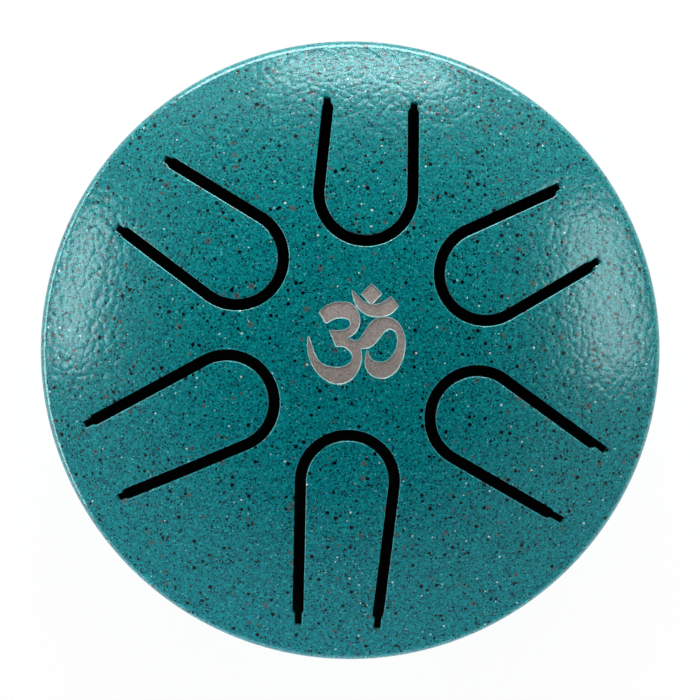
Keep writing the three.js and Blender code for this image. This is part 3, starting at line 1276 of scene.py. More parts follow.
SIGN_BODY = (
    ((-8.9, 6.3), (-7.2, 7.8), (-4.6, 8.6), (-1.6, 8.3), (0.1, 6.5), (0.6, 4.1), (-0.2, 1.8),
     (-2.1, 0.2)),
    ((-2.1, 0.2), (-1.1, -0.5), (0.2, -0.5), (1.3, 0.6), (3, 3.2), (4.6, 4.6), (6.7, 5), (8.8, 4.4),
     (10.4, 2.8), (11.3, 0.4), (11.4, -2.1), (10.8, -5.1), (9.4, -7.7), (7.6, -9.1), (5.7, -9.5),
     (3.7, -8.9), (2.4, -7.4), (2, -5.4), (2.5, -2.9)),
    ((2.5, -2.9), (2.9, -4.3), (3.8, -5.3), (5.4, -5.8), (7.1, -5.4), (8.5, -4.2), (9.5, -2.4),
     (9.8, -0.2), (9.2, 1.6), (7.9, 2.3), (6.7, 1.8), (5.5, 0.4), (4.2, -1.2), (2.7, -2.2), (0.8, -2.3)),
    ((0.8, -2.3), (1, -4.7), (0.4, -7.2), (-1, -9.4), (-2.9, -10.6), (-5.2, -10.8), (-7.6, -9.8),
     (-9.7, -7.8), (-11.2, -4.9), (-11.7, -2.2), (-11.6, 0.5)),
    ((-11.6, 0.5), (-10.9, -1.6), (-10.2, -3.7), (-9, -5.6), (-7.3, -6.6), (-5, -7), (-3, -6.7),
     (-1.5, -5.7), (-1, -4.2), (-1.8, -2.8), (-3.3, -1.9), (-5, -1.8)),
    ((-5, -1.8), (-6.5, 1.9)),
    ((-6.5, 1.9), (-4.6, 1.8), (-2.9, 2), (-1.7, 2.8), (-1.5, 3.8), (-2.2, 4.7), (-3.7, 5),
     (-5.4, 4.7), (-7.4, 3.7)),
    ((-7.4, 3.7), (-8.9, 6.3)),
)
SIGN_CRESCENT = (
    ((-1.1, 11.4), (-0.4, 8.5), (1.1, 6.5), (3.3, 5.4), (6, 5.2), (8.3, 6.1), (9.8, 7.7)),
    ((9.8, 7.7), (8.1, 9.9)),
    ((8.1, 9.9), (6.8, 8.8), (5.1, 8.1), (3.6, 8)),
    ((3.6, 8), (3.7, 8.4), (5.8, 10.6)),
    ((5.8, 10.6), (3.5, 12.9)),
    ((3.5, 12.9), (1.1, 10.6)),
    ((1.1, 10.6), (3.1, 8.4), (3.2, 8.1)),
    ((3.2, 8.1), (1.4, 8.9), (-1.1, 11.4)),
)


@dataclass(frozen=True)
class Sign:
    """The traditional Om, cut through the paint at the middle of the slot pattern.

    Its outlines are smooth curves between corners, given in millimetres about the sign's middle.

    Attributes:
        middle: Place of the sign's middle in plan.
        depth: Depth of the bare steel under the outer face.
        pocket: Depth of the pocket's floor under the outer face.
        inlay: Thickness of the plate of bare steel.
        paint_round: Radius of the paint's rounded edge.
        near_share: Share of the way to the nearest outline that a rounded edge may take.
        near_step: Greatest distance between the points among which the nearest is sought.
        round_points: Points across the rounded edge.
        reach: Half the side of the square that holds the sign.
        curve_steps: Steps between two points of a curve.
        corner_step: Greatest distance between two points of a straight stretch.
        field_step: Distance between the free points of the pocket's floor.
    """

    middle: tuple[float, float]
    depth: float = 0.25
    pocket: float = 0.55
    inlay: float = 0.28
    paint_round: float = 0.22
    near_share: float = 0.4
    near_step: float = 0.06
    round_points: int = 5
    reach: float = 15
    curve_steps: int = 5
    corner_step: float = 0.4
    field_step: float = 0.9

    def loops(self) -> list[Array]:
        """The closed outlines in plan, each a row of smooth curves that meet at corners.

        Returns:
            One anticlockwise loop of points for each outline.
        """
        made = []
        for outline in (SIGN_BODY, SIGN_CRESCENT):
            stretches = [
                smooth_through(np.array(points, float), self.curve_steps) if len(points) > 2
                else straight(points[0], points[1], self.corner_step)
                for points in outline]
            made.append(anticlockwise(joined(*stretches)[:-1]) + np.asarray(self.middle))
        return made

    def paint_profile(self) -> Array:
        """Profile of the cut paint and the pocket's wall, as rows of (share of the spread, depth).

        Down to the paint round's radius it is a quarter round: 1 - sin a and radius * (1 - cos a).

        Returns:
            The rows, from the outer face.
        """
        angle = np.linspace(0, math.pi / 2, self.round_points)
        edge = np.column_stack((1 - np.sin(angle), self.paint_round * (1 - np.cos(angle))))
        return np.concatenate((edge, [(0, self.depth), (0, self.pocket)]))

    def spreads(self) -> list[Array]:
        """Ways from the outlines to the outer ends of the paint's round edge.

        Each is the outward normal times the round's radius, or times near_share of the way to the
        nearest point of an outline ahead, where that is less, so that no two rounds cross. A point is
        ahead where the way to it lies within 60 degrees of the normal.

        Returns:
            For each outline, one plan way for each of its points.
        """
        loops = self.loops()
        every = np.concatenate([
            straight(a, b, self.near_step) for loop in loops for a, b in zip(loop, np.roll(loop, -1, 0))])
        ways = []
        for loop in loops:
            normals = outward(loop)
            gaps = every[None] - loop[:, None]
            apart = np.linalg.norm(gaps, axis=-1)
            ahead = np.sum(gaps * normals[:, None], axis=-1) > apart / 2
            nearest = np.where(ahead, apart, np.inf).min(1)
            ways.append(normals * np.minimum(self.paint_round, nearest * self.near_share)[:, None])
        return ways

    def floor(self) -> tuple[Array, Array]:
        """Triangles inside the outlines.

        Returns:
            Plan points, and the corners of each triangle.
        """
        loops = self.loops()
        points = even_points(self.reach, self.field_step) + np.asarray(self.middle)
        kept = np.zeros(len(points), bool)
        for loop in loops:
            kept |= inside(points, loop)
        points = clear_of(points[kept], loops, self.field_step / 2)
        plan, faces = triangulated(loops, [], points)
        centres = plan[faces].mean(1)
        within = np.zeros(len(faces), bool)
        for loop in loops:
            within |= inside(centres, loop)
        return plan, faces[within]


class Region(IntEnum):
    """What a triangle of the upper dish belongs to; numbers from 0 up are the tongues'."""

    DISH = -1
    SIGN = -2


@dataclass(frozen=True)
class Cut:
    """A slot in the drum's plan.

    Attributes:
        loop: The slot's outline.
        normals: For each of its points, the unit normal into the metal.
        right: Number of the point at the tongue's root on the clockwise side.
        left: Number of the point at the tongue's root on the other side.
        ring: Where the slot's rounded edge meets the outer face.
        root: Line between the ring's two root points.
    """

    loop: Array
    normals: Array
    right: int
    left: int
    ring: Array
    root: Array

    @property
    def tongue_side(self) -> Array:
        """Numbers of the points along the tongue."""
        return np.arange(self.right, self.left + 1)

    @property
    def dish_side(self) -> Array:
        """Numbers of the points along the dish."""
        return np.arange(self.left, self.right + len(self.loop) + 1) % len(self.loop)


@dataclass
class UpperDish:
    """The upper dish with its six tongues, cut from one sheet, and the engraved sign.

    Attributes:
        materials: Where the finishes' materials come from.
        pattern_middle: Place of the slot pattern's middle in plan.
        pattern_turn: How far the pattern is turned clockwise, in degrees.
        crown: Radius of the dome.
        knuckle: Radius of the knuckle at the rim.
        wall: Height of the straight wall.
        field_radius: Radius out to which the dome is a field of triangles.
        field_step: Distance between the field's free points.
        edge_round: Radius of the slots' rounded edges.
        edge_steps: Steps in each rounded edge.
        bend_margin: Distance from a tongue's root at which its bend would begin; the bend is not made.
        bend_share: Where the bend would end, as a share of the way from the root to the pattern's middle.
        slots: The slots, clockwise from the top.
    """

    materials: Materials
    pattern_middle: tuple[float, float] = (1.15, 4.4)
    pattern_turn: float = 3.7
    crown: float = 170
    knuckle: float = 3
    wall: float = 12.5
    field_radius: float = 70.3
    field_step: float = 1.25
    edge_round: float = 0.3
    edge_steps: int = 5
    bend_margin: float = 0.7
    bend_share: float = 0.6
    slots: tuple[Slot, ...] = (
        Slot("tongue_6", (21.8, 21.8), (1.3, 1.4), (0.2, 0.6)),
        Slot("tongue_5", (25.7, 25.0), (2.05, 1.4), (-0.5, 0.95)),
        Slot("tongue_3", (32.0, 31.2), (3.3, 3.2), (-0.3, 1)),
        Slot("tongue_1", (36.5, 36.3), (3.0, 2.8), (-0.2, 0.3)),
        Slot("tongue_2", (33.7, 34.2), (2.1, 1.5), (0, 0.2)),
        Slot("tongue_4", (27.0, 27.4), (1.3, 1.5), (0, 0.4)),
    )

    def __post_init__(self) -> None:
        """Reads the dish's place from the frame and lays out the plan."""
        low, high = node_box("top_shell")
        self.dish = Dish(low[2], 1, 0, self.crown, self.knuckle, self.wall, (high[0] - low[0]) / 2)
        self.sign = Sign(self.pattern_middle)
        self.profile = quarter_rounds(self.edge_round, self.dish.sheet, self.edge_steps)
        self.cuts = [self.cut(number, slot) for number, slot in enumerate(self.slots)]
        self.plan, self.faces, self.region = self.divided()

    def cut(self, number: int, slot: Slot) -> Cut:
        """Places one slot in the drum's plan.

        Args:
            number: Its number, clockwise from the top.
            slot: The slot.

        Returns:
            The placed slot.
        """
        loop, right, left = slot.outline()
        loop = turned(loop, -self.pattern_turn - 360 / len(self.slots) * number, self.pattern_middle)
        normals = outward(loop)
        across = loop[left] - loop[right]
        normals[right] = across / np.linalg.norm(across)
        normals[left] = -normals[right]
        ring = loop + normals * self.edge_round
        root = straight(ring[right], ring[left], self.field_step)
        return Cut(loop, normals, right, left, ring, root)

    def divided(self) -> tuple[Array, Array, Array]:
        """Triangles over the domed middle of the dish, and what each belongs to.

        Returns:
            Plan points, triangles, and each triangle's region or tongue number. Triangles in the
            slots are left out.
        """
        rings = [cut.ring for cut in self.cuts]
        roots = [cut.root for cut in self.cuts]
        sign_rings = [loop + way for loop, way in zip(self.sign.loops(), self.sign.spreads())]
        rim = ring_of((0, 0), self.field_radius, self.dish.around)
        points = even_points(self.field_radius, self.field_step)
        gap = self.field_step * CLEAR_SHARE
        points = points[np.linalg.norm(points, axis=1) < self.field_radius - gap]
        points = clear_of(points, [*rings, *roots, *sign_rings], gap)
        plan, faces = triangulated([rim, *rings, *sign_rings], roots, points)
        centres = plan[faces].mean(1)
        region = np.full(len(faces), int(Region.DISH))
        for loop in sign_rings:
            region[inside(centres, loop)] = Region.SIGN
        in_slot = np.zeros(len(faces), bool)
        for number, cut in enumerate(self.cuts):
            region[inside(centres, cut.ring[cut.tongue_side])] = number
            in_slot |= inside(centres, cut.ring)
        return plan, faces[~in_slot], region[~in_slot]

    def add_field(self, skin: Skin, depth: float, wanted: Sequence[int], finish: Finish) -> None:
        """Adds the triangles of some regions, lifted onto a face of the sheet.

        Args:
            skin: The skin to add to.
            depth: Depth of the face under the outer face.
            wanted: The regions.
            finish: The finish of the face.
        """
        faces = self.faces[np.isin(self.region, wanted)]
        used, index = np.unique(faces, return_inverse=True)
        skin.add(self.dish.lift(self.plan[used], depth), index.reshape(-1, 3), finish)

    def add_root(self, skin: Skin, cut: Cut) -> None:
        """Adds the section at a tongue's root, from the outer to the inner face.

        Row by row it runs straight from one leg's edge profile to the other's.

        Args:
            skin: The skin to add to.
            cut: The tongue's slot.
        """
        share = np.linspace(0, 1, len(cut.root))[None, :, None]
        ends = [cut.loop[end] + cut.normals[end] * self.profile[:, :1] for end in (cut.right, cut.left)]
        plan = ends[0][:, None] * (1 - share) + ends[1][:, None] * share
        skin.add_grid(self.dish.lift(plan, self.profile[:, 1:]), Finish.INSIDE, closed=False)

    def add_strip(self, skin: Skin, cut: Cut, index: Array) -> None:
        """Adds a stretch of a slot's edge, given by the numbers of its points."""
        self.dish.add_cut(skin, cut.loop[index], self.profile, cut.normals[index], closed=False,
                          painted=self.edge_steps + 1)

    def shell(self) -> bpy.types.Object:
        """Makes the dish without its tongues.

        Returns:
            The piece.
        """
        skin = Skin("top_shell_skin", (Finish.PAINT, Finish.INSIDE, Finish.PAINT_EDGE))
        self.add_field(skin, 0, (Region.DISH,), Finish.PAINT)
        self.add_field(skin, self.dish.sheet, (Region.DISH, Region.SIGN), Finish.INSIDE)
        self.dish.add_edge(skin, self.field_radius)
        for cut in self.cuts:
            self.add_strip(skin, cut, cut.dish_side)
            self.add_root(skin, cut)
        self.add_pocket(skin)
        piece = skin.build(self.materials)
        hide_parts("top_shell")
        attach(piece, "shell")
        return piece

    def add_pocket(self, skin: Skin) -> None:
        """Adds the engraved pocket: a rounded edge of paint, a wall and a floor.

        Args:
            skin: The skin to add to.
        """
        sign = self.sign
        profile = sign.paint_profile()
        for loop, way in zip(sign.loops(), sign.spreads()):
            plan = loop[None] + way[None] * profile[:, :1, None]
            grid = self.dish.lift(plan, np.broadcast_to(profile[:, 1:], plan.shape[:2]))
            # The pale edge colour paints the highlight that the rounded edge catches.
            skin.add_grid(grid, Finish.PAINT_EDGE)
        plan, faces = sign.floor()
        skin.add(self.dish.lift(plan, sign.pocket), faces, Finish.PAINT_EDGE)

    def inlay(self) -> bpy.types.Object:
        """Makes the bare steel that shows in the engraved sign, a thin plate in the pocket.

        Returns:
            The piece.
        """
        sign = self.sign
        skin = Skin("engraved_sign", (Finish.BARE_STEEL,))
        plan, faces = sign.floor()
        for depth in (sign.depth, sign.depth + sign.inlay):
            skin.add(self.dish.lift(plan, depth), faces, Finish.BARE_STEEL)
        for loop in sign.loops():
            wall = np.stack([self.dish.lift(loop, d) for d in (sign.depth, sign.depth + sign.inlay)])
            skin.add_grid(wall, Finish.BARE_STEEL)
        piece = skin.build(self.materials)
        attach(piece, "shell")
        return piece

    def tongue(self, number: int) -> bpy.types.Object:
        """Makes one tongue, whose edge meets the dish at its root. The two points between which it would
        bend are worked out, but no bend is made.

        Args:
            number: The tongue's number, clockwise from the top.

        Returns:
            The piece.
        """
        name, cut = self.slots[number].tongue, self.cuts[number]
        skin = Skin(f"{name}_skin", (Finish.PAINT, Finish.INSIDE))
        self.add_field(skin, 0, (number,), Finish.PAINT)
        self.add_field(skin, self.dish.sheet, (number,), Finish.INSIDE)
        self.add_strip(skin, cut, cut.tongue_side)
        self.add_root(skin, cut)
        piece = skin.build(self.materials)
        root = cut.root.mean(0)
        inwards = np.asarray(self.pattern_middle) - root
        length = np.linalg.norm(inwards)
        start = root + inwards / length * self.bend_margin
        end = root + inwards * self.bend_share
        start, end = (self.dish.lift(p[None], 0)[0] * MM for p in (start, end))
        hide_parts(name)
        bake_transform(piece)
        return piece

    def build(self) -> None:
        """Makes the dish, the sign and the tongues."""
        self.shell()
        self.inlay()
        for number in range(len(self.slots)):
            self.tongue(number)


@dataclass
class LowerDish:
    """The lower dish, with its sound hole and the holes for the foot screws, and the weld.

    Attributes:
        materials: Where the finishes' materials come from.
        feet: Place of each foot's axis in plan.
        flare: Radius of the curve between the flat base and the knuckle.
        knuckle: Radius of the knuckle below the wall.
        wall: Height of the straight wall.
        flat: Radius of the flat base.
        hole_radius: Radius of the sound hole.
        hole_round: Radius of the holes' rounded edges.
        hole_points: Points round the sound hole.
        edge_steps: Steps in each rounded edge.
        screw_hole: Radius of the holes for the foot screws.
        screw_hole_points: Points round each of them.
        field_step: Distance between the base's free points.
        weld_proud: How far the weld stands out, without its ripples.
        weld_ripple: Height of its ripples.
        weld_ripples: Number of ripples round the drum.
        weld_drift: How many times round the drum the ripples draw together.
        weld_inside: How far the weld stands out inside the drum.
        weld_points: Points across each face of the weld.
        ripple_steps: Steps along each ripple.
    """

    materials: Materials
    feet: Sequence[tuple[float, float]]
    flare: float = 45
    knuckle: float = 14
    wall: float = 10
    flat: float = 54
    hole_radius: float = 20
    hole_round: float = 0.45
    hole_points: int = 180
    edge_steps: int = 6
    screw_hole: float = 2.2
    screw_hole_points: int = 32
    field_step: float = 2.4
    weld_proud: float = 0.26
    weld_ripple: float = 0.04
    weld_ripples: int = 236
    weld_drift: int = 9
    weld_inside: float = 0.35
    weld_points: int = 11
    ripple_steps: int = 6

    def __post_init__(self) -> None:
        """Reads the dish's place from the frame."""
        low, high = node_box("bottom_shell")
        self.dish = Dish(high[2], -1, self.flat, self.flare, self.knuckle, self.wall, (high[0] - low[0]) / 2)

    def shell(self) -> bpy.types.Object:
        """Makes the dish.

        Returns:
            The piece.
        """
        skin = Skin("bottom_shell_skin", (Finish.PAINT, Finish.INSIDE))
        dish = self.dish
        profile = quarter_rounds(self.hole_round, dish.sheet, self.edge_steps)
        holes = [ring_of((0, 0), self.hole_radius, self.hole_points)]
        holes += [ring_of(centre, self.screw_hole, self.screw_hole_points) for centre in self.feet]
        rings = [hole + outward(hole) * self.hole_round for hole in holes]
        rim = ring_of((0, 0), self.flat, dish.around)
        points = even_points(self.flat, self.field_step)
        gap = self.field_step * CLEAR_SHARE
        points = points[np.linalg.norm(points, axis=1) < self.flat - gap]
        points = clear_of(points, rings, gap)
        plan, faces = triangulated([rim, *rings], [], points)
        centres = plan[faces].mean(1)
        open_faces = np.zeros(len(faces), bool)
        for ring in rings:
            open_faces |= inside(centres, ring)
        skin.add(dish.lift(plan, 0), faces[~open_faces], Finish.PAINT)
        skin.add(dish.lift(plan, dish.sheet), faces[~open_faces], Finish.INSIDE)
        dish.add_edge(skin, self.flat)
        for hole in holes:
            dish.add_cut(skin, hole, profile, outward(hole), painted=self.edge_steps + 2)
        piece = skin.build(self.materials)
        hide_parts("bottom_shell")
        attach(piece, "shell")
        return piece

    def weld(self) -> bpy.types.Object:
        """Makes the weld bead between the dishes.

        Its outer face is half an ellipse in section whose proud height ripples round the drum:
        proud + ripple * sin(ripples * angle + sin(drift * angle)). Its inner face is half an
        ellipse too.

        Returns:
            The piece.
        """
        low, high = node_box("seam_weld")
        middle, half = (low[2] + high[2]) / 2, (high[2] - low[2]) / 2
        outside = arc((0, 0), 1, -90, 90, self.weld_points)
        section = np.concatenate((outside, -outside))
        count = self.weld_ripples * self.ripple_steps
        angle = np.arange(count) * (2 * math.pi / count)
        phase = self.weld_ripples * angle + np.sin(self.weld_drift * angle)
        proud = self.weld_proud + self.weld_ripple * np.sin(phase)
        base = np.repeat((self.dish.radius, self.dish.radius - self.dish.sheet), len(outside))[:, None]
        reach = np.where(section[:, :1] > 0, proud, self.weld_inside)
        radius = base + section[:, :1] * reach
        height = np.broadcast_to(middle + half * section[:, 1:], radius.shape)
        grid = np.stack((radius * np.cos(angle), radius * np.sin(angle), height), axis=-1)
        skin = Skin("seam_weld_skin", (Finish.PAINT,))
        skin.add_grid(np.concatenate((grid, grid[:1])), Finish.PAINT)
        piece = skin.build(self.materials)
        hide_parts("seam_weld")
        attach(piece, "shell")
        return piece

    def build(self) -> None:
        """Makes the dish and the weld."""
        self.shell()
        self.weld()


@dataclass
class Foot:
    """One rubber foot with its screw, washer and nut, turned about the axis of its screw.

    Attributes:
        materials: Where the finishes' materials come from.
        number: The foot's number.
        recess: Radius of the recess round the screw's head.
        head_seat: Height of the face that the screw's head bears on.
        bore: Radius of the holes in the rubber and the washer.
        bottom_radius: Radius of the foot above its bottom edge.
        edge: Width of the slope round its bottom edge.
        round_reach: How far from a corner of the rubber its round begins.
        around: Steps round the axis.
        head_rise: How far the middle of the screw's head stands below its rim.
        cross_length: Length of an arm of the cross, from the axis.
        cross_width: Half the width of an arm.
        cross_depth: Depth of the cross.
        thread_pitch: Pitch of the thread.
        thread_depth: Depth of the thread.
        screw_radius: Radius of the screw over its thread.
        nut_chamfer: Width of the nut's chamfers.
        washer_round: How far from a corner of the washer its round begins.
        arm_fall: Length over which an arm of the cross runs out.
        arm_slope: Width over which an arm's side slopes.
        head_rows: Rows of points from the middle of the head to its rim.
        head_spread: Power that turns a row's share of the rows into its share of the radius.
        screw_step: Greatest distance between two points along the head's side.
        thread_steps: Rows of points in each turn of the thread.
        nut_gap: Clearance between the screw and the nut.
        nut_step: Greatest distance between two points of the nut's section.
        rubber_steps: Steps in each rounded corner of the rubber.
        washer_steps: Steps in each rounded corner of the washer.
    """

    materials: Materials
    number: int
    recess: float = 4
    head_seat: float = 3.8
    bore: float = 2.2
    bottom_radius: float = 6.6
    edge: float = 0.8
    round_reach: float = 0.35
    around: int = 72
    head_rise: float = 0.45
    cross_length: float = 2.1
    cross_width: float = 0.5
    cross_depth: float = 1.3
    thread_pitch: float = 0.7
    thread_depth: float = 0.3
    screw_radius: float = 1.95
    nut_chamfer: float = 0.45
    washer_round: float = 0.12
    arm_fall: float = 0.7
    arm_slope: float = 0.25
    head_rows: int = 40
    head_spread: float = 0.8
    screw_step: float = 0.4
    thread_steps: int = 8
    nut_gap: float = 0.15
    nut_step: float = 0.2
    rubber_steps: int = 4
    washer_steps: int = 3

    def __post_init__(self) -> None:
        """Reads the foot's axis from the frame."""
        low, high = node_box(f"foot_{self.number}")
        self.axis = (low[:2] + high[:2]) / 2
        self.top_radius, self.height = (high[0] - low[0]) / 2, high[2]

    def made(self, part: str, grids: Sequence[Array], finish: Finish) -> bpy.types.Object:
        """Makes a piece of some grids about its axis, moved to the foot's place.

        Args:
            part: Name of the node without its number.
            grids: Grids of points that close on each other.
            finish: Its finish.

        Returns:
            The piece.
        """
        node = f"{part}_{self.number}"
        skin = Skin(f"{node}_skin", (finish,))
        for grid in grids:
            skin.add_grid(grid + np.append(self.axis, 0), finish)
        piece = skin.build(self.materials)
        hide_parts(node)
        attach(piece, "shell")
        return piece

    def rubber(self) -> bpy.types.Object:
        """Makes the foot: a rounded profile turned about its axis.

        Returns:
            The piece.
        """
        corners = (
            (self.recess, 0), (self.bottom_radius - self.edge, 0), (self.bottom_radius, self.edge),
            (self.top_radius, self.height), (self.bore, self.height), (self.bore, self.head_seat),
            (self.recess, self.head_seat))
        line = round_corners(corners, self.round_reach, self.rubber_steps)
        grid = lathe(np.concatenate((line, line[:1])), self.around)
        return self.made("foot", [grid], Finish.RUBBER)

    def arm(self, along: Array, across: Array) -> Array:
        """Depth of one arm of the screw's cross, as a share: a fall along times a fall across.

        Args:
            along: Distance from the screw's axis along the arm.
            across: Distance from it across the arm.

        Returns:
            A share from 0 to 1 for each point.
        """
        fall_along = np.clip((self.cross_length - np.abs(along)) / self.arm_fall, 0, 1)
        fall_across = np.clip((self.cross_width - np.abs(across)) / self.arm_slope, 0, 1)
        return fall_along * fall_across

    def screw(self) -> bpy.types.Object:
        """Makes the screw.

        The head's face is a shallow dome, rise * s cubed * (3 - 2 s) at a share s of the radius, with
        a cross of two arms sunk in it. The thread is a shank whose radius follows a triangle wave of
        height / pitch - angle / full turn.

        Returns:
            The piece.
        """
        low, high = node_box(f"foot_screw_{self.number}")
        head_radius = (high[0] - low[0]) / 2
        angle = np.arange(self.around) * (2 * math.pi / self.around)
        radius = np.linspace(0, 1, self.head_rows)[:, None] ** self.head_spread * head_radius
        x, y = radius * np.cos(angle), radius * np.sin(angle)
        dome = self.head_rise * (radius / head_radius) ** 3 * (3 - 2 * radius / head_radius)
        sink = self.cross_depth * np.maximum(self.arm(x, y), self.arm(y, x))
        face = np.stack((x, y, low[2] + dome + sink), axis=-1)
        corner, seat = (head_radius, self.head_seat), (self.screw_radius, self.head_seat)
        side = lathe(joined(
            straight((head_radius, low[2] + self.head_rise), corner, self.screw_step),
            straight(corner, seat, self.screw_step)), self.around)
        row_step = self.thread_pitch / self.thread_steps
        rows = np.arange(self.head_seat, high[2] - self.thread_depth, row_step)[1:, None]
        phase = (rows / self.thread_pitch - angle / (2 * math.pi)) % 1
        fade = np.clip((rows - self.head_seat) / self.thread_pitch, 0, 1)
        shank_radius = self.screw_radius - self.thread_depth * np.abs(2 * phase - 1) * fade
        height = np.broadcast_to(rows, shank_radius.shape)
        shank = np.stack((shank_radius * np.cos(angle), shank_radius * np.sin(angle), height), axis=-1)
        end_radius = self.screw_radius - 2 * self.thread_depth
        tip = lathe(np.array(((end_radius, high[2]), (0, high[2]))), self.around)
        return self.made("foot_screw", [np.concatenate((face, side[1:], shank, tip))], Finish.ZINC)

    def washer(self) -> bpy.types.Object:
        """Makes the washer: a flat ring with stamped edges.

        Returns:
            The piece.
        """
        low, high = node_box(f"foot_washer_{self.number}")
        outer = (high[0] - low[0]) / 2
        corners = ((self.bore, low[2]), (outer, low[2]), (outer, high[2]), (self.bore, high[2]))
        line = round_corners(corners, self.washer_round, self.washer_steps)
        return self.made("foot_washer", [lathe(np.concatenate((line, line[:1])), self.around)], Finish.ZINC)

    def nut(self) -> bpy.types.Object:
        """Makes the nut.

        A round profile is cut to a hexagon: its radius is the lesser of the profile's, which has
        chamfered corners, and half the width across flats / cos(angle from the nearest flat).

        Returns:
            The piece.
        """
        low, high = node_box(f"foot_nut_{self.number}")
        flats = min(high[0] - low[0], high[1] - low[1]) / 2
        sixth = math.pi / 3
        corner = flats / math.cos(sixth / 2)
        bore = self.screw_radius + self.nut_gap
        cut = self.nut_chamfer
        line = np.array((
            (bore, low[2] + cut), (bore + cut, low[2]), (corner - cut, low[2]),
            (corner, low[2] + cut / 2), (corner, high[2] - cut / 2), (corner - cut, high[2]),
            (bore + cut, high[2]), (bore, high[2] - cut), (bore, low[2] + cut)))
        line = joined(*(straight(a, b, self.nut_step) for a, b in zip(line[:-1], line[1:])))
        grid = lathe(line, self.around)
        angle = np.arange(self.around) * (2 * math.pi / self.around)
        turned_by = 0 if high[0] - low[0] > high[1] - low[1] else sixth / 2
        from_flat = np.abs((angle + turned_by) % sixth - sixth / 2)
        limit = flats / np.cos(from_flat)
        radius = np.linalg.norm(grid[..., :2], axis=-1)
        scale = np.minimum(radius, limit) / radius
        grid[..., :2] *= scale[..., None]
        return self.made("foot_nut", [grid], Finish.ZINC)

    def build(self) -> None:
        """Makes the foot and its fasteners."""
        self.rubber()
        self.screw()
        self.washer()
        self.nut()


# The studio


@dataclass(frozen=True)
class SoftBox:
    """A lamp that looks at the drum.

    Attributes:
        name: Its name.
        bearing: Where it stands, in degrees clockwise from +Y.
        elevation: How high it stands, in degrees over the level.
        distance: Its distance in metres.
        width: Its width in metres.
        length: Its height in metres.
        watts: Its power.
        shines: Whether it is reflected; one that isn't still lights the drum.
        tint: Colour of its light.
    """

    name: str
    bearing: float
    elevation: float
    distance: float
    width: float
    length: float
    watts: float
    shines: bool = True
    tint: tuple[float, float, float] = (1, 1, 1)

    def build(self, target: Vector) -> None:
        """Places the lamp, facing a target.

        Args:
            target: The target, in metres.
        """
        lamp = bpy.data.lights.new(self.name, "AREA")
        lamp.shape = "RECTANGLE"
        lamp.size, lamp.size_y, lamp.energy = self.width, self.length, self.watts
        lamp.color = self.tint
        bearing, elevation = math.radians(self.bearing), math.radians(self.elevation)
        away = Vector((math.sin(bearing) * math.cos(elevation), math.cos(bearing) * math.cos(elevation),
                       math.sin(elevation)))
        holder = bpy.data.objects.new(self.name, lamp)
        holder.location = target + away * self.distance
        holder.rotation_euler = away.to_track_quat("Z", "Y").to_euler()
        holder.visible_glossy = self.shines
        bpy.context.scene.collection.objects.link(holder)


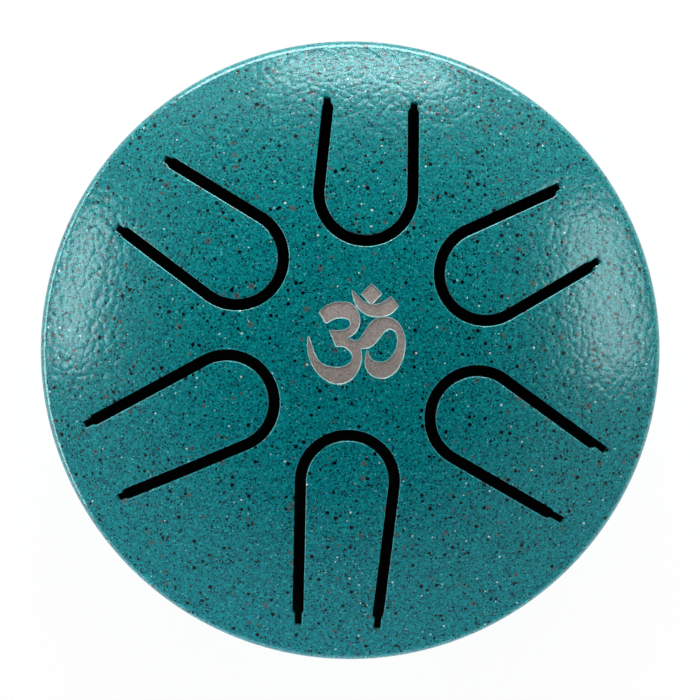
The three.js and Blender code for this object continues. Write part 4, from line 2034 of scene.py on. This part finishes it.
@dataclass
class Studio:
    """The camera over the drum, the white ground and the soft lamps.

    Attributes:
        distance: Distance from the camera to the axis point in millimetres.
        tilt_up: How far the camera stands off the axis towards +Y, in degrees.
        tilt_right: How far it stands off the axis towards +X, in degrees.
        lens: Focal length in millimetres.
        sensor: Width of the sensor in millimetres.
        clip: Nearest and farthest distance that the camera sees, in metres.
        aim: The point that the camera looks at, in millimetres.
        axis_point: The point on the drum's axis that camera and lamps are placed from.
        floor_size: Side of the ground in metres.
        floor_colour: Colour of the ground.
        white: Plain white, for what glows.
        glow: Brightness of the glowing ground.
        ground_share: Share of the glow in what is seen of the ground.
        shade_reach: Distances from the origin between which the glow sets in, in millimetres.
        tent: Brightness of the tent.
        opening: Heights on a unit ball between which the tent turns into its opening.
        boxes: The lamps.
    """

    distance: float = 800
    tilt_up: float = 3.46
    tilt_right: float = -1.04
    lens: float = 168.2
    sensor: float = 36
    clip: tuple[float, float] = (0.05, 20)
    aim: tuple[float, float, float] = (-0.17, 0.46, 45.97)
    axis_point: tuple[float, float, float] = (0, 0, 45.97)
    floor_size: float = 3.0
    floor_colour: Colour = (0.9, 0.9, 0.9, 1)
    white: Colour = (1, 1, 1, 1)
    glow: float = 1.03
    ground_share: float = 0.9
    shade_reach: tuple[float, float] = (42, 68)
    tent: float = 0.25
    opening: tuple[float, float] = (0.68, 0.92)
    boxes: tuple[SoftBox, ...] = (
        SoftBox("strip_behind", 4, 38, 1.1, 0.6, 0.05, 1.4),
        SoftBox("veil_behind", 0, 39, 1.15, 1.7, 0.3, 0.75),
        SoftBox("window_right", 80, 39, 1.1, 0.55, 0.22, 1.3),
        SoftBox("window_left", -80, 37, 1.1, 0.5, 0.12, 1.05),
        SoftBox("screen_behind", 0, 11, 1.1, 1.5, 0.5, 20.5),
        SoftBox("screen_front", 190, 6, 1.1, 1.4, 0.35, 16.5, False, (0.8, 0.84, 1)),
        SoftBox("screen_right", 95, 6, 1.1, 1.4, 0.35, 7.0, False),
        SoftBox("screen_left", 270, 6, 1.1, 1.4, 0.35, 9.0),
    )

    def camera(self) -> None:
        """Places the camera, nearly straight above, with +Y up in the picture."""
        up, right = math.radians(self.tilt_up), math.radians(self.tilt_right)
        back = Vector((math.sin(right), math.sin(up), 0))
        back.z = math.sqrt(1 - back.length_squared)
        place = Vector(self.axis_point) + back * self.distance
        look = (place - Vector(self.aim)).normalized()
        across = Vector((0, 1, 0)).cross(look).normalized()
        turn = Matrix((across, look.cross(across), look)).transposed()
        data = bpy.data.cameras.new("camera")
        data.sensor_width, data.lens = self.sensor, self.lens
        data.clip_start, data.clip_end = self.clip
        camera = bpy.data.objects.new("camera", data)
        camera.matrix_world = Matrix.Translation(place * MM) @ turn.to_4x4()
        bpy.context.scene.collection.objects.link(camera)
        bpy.context.scene.camera = camera

    def seen_directly(self, graph: Graph) -> Term:
        """Tells the rays that show the ground itself, in a mirror or through glass too.

        Args:
            graph: The ground's graph.

        Returns:
            1 for those rays and 0 for the others.
        """
        path = graph.add("ShaderNodeLightPath")
        camera, glossy, transmission = (
            Term(graph, path.outputs[name])
            for name in ("Is Camera Ray", "Is Glossy Ray", "Is Transmission Ray"))
        return camera.math("MAXIMUM", camera.math("MAXIMUM", camera, glossy), transmission)

    def floor(self) -> None:
        """Lays the white ground.

        It glows to the camera, except under the drum, keeps a faint shadow, and lets a view from
        below through.
        """
        half = self.floor_size / 2
        mesh = bpy.data.meshes.new("ground")
        corners = [(-half, -half, 0), (half, -half, 0), (half, half, 0), (-half, half, 0)]
        mesh.from_pydata(corners, [], [(0, 1, 2, 3)])
        ground = bpy.data.objects.new("ground", mesh)
        bpy.context.scene.collection.objects.link(ground)
        material = bpy.data.materials.new("white_ground")
        material.use_nodes = True
        graph = Graph(material.node_tree)
        matt = graph.add("ShaderNodeBsdfDiffuse", None, {"Color": self.floor_colour})
        glow = graph.add("ShaderNodeEmission", None, {"Color": self.white, "Strength": self.glow})
        reach = graph.term("ShaderNodeVectorMath", {"operation": "LENGTH"}, {0: graph.place()}, "Value")
        lit = graph.smooth(reach, *(r * MM for r in self.shade_reach))
        share = self.seen_directly(graph) * lit * self.ground_share
        mixed = graph.add("ShaderNodeMixShader", None, {0: share, 1: matt.outputs[0], 2: glow.outputs[0]})
        below = graph.add("ShaderNodeNewGeometry").outputs["Backfacing"]
        clear = graph.add("ShaderNodeBsdfTransparent")
        whole = graph.add("ShaderNodeMixShader", None, {0: below, 1: mixed.outputs[0], 2: clear.outputs[0]})
        graph.add("ShaderNodeOutputMaterial", None, {"Surface": whole.outputs[0]})
        mesh.materials.append(material)

    def world(self) -> None:
        """Hangs the tent: even white light from the sides, and a dark opening over the drum."""
        world = bpy.data.worlds.new("tent")
        bpy.context.scene.world = world
        world.use_nodes = True
        graph = Graph(world.node_tree)
        way = graph.add("ShaderNodeTexCoord").outputs["Generated"]
        height = Term(graph, graph.add("ShaderNodeSeparateXYZ", None, {0: way}).outputs[2])
        tent = (1 - graph.smooth(height, *self.opening)) * self.tent
        camera = Term(graph, graph.add("ShaderNodeLightPath").outputs["Is Camera Ray"])
        strength = tent * (1 - camera) + camera
        shader = graph.add("ShaderNodeBackground", None, {"Color": self.white, "Strength": strength})
        graph.add("ShaderNodeOutputWorld", None, {"Surface": shader.outputs[0]})

    def build(self) -> None:
        """Sets up everything round the drum."""
        bpy.context.scene.view_settings.view_transform = "Standard"
        self.camera()
        self.floor()
        self.world()
        for box in self.boxes:
            box.build(Vector(self.axis_point) * MM)


def main() -> None:
    """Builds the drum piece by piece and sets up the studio."""
    logging.basicConfig(level=logging.INFO, format="%(message)s")
    materials = Materials()
    Studio().build()
    UpperDish(materials).build()
    feet = [Foot(materials, number) for number in (1, 2, 3)]
    LowerDish(materials, [tuple(foot.axis) for foot in feet]).build()
    for foot in feet:
        foot.build()


if __name__ == "__main__":
    main()
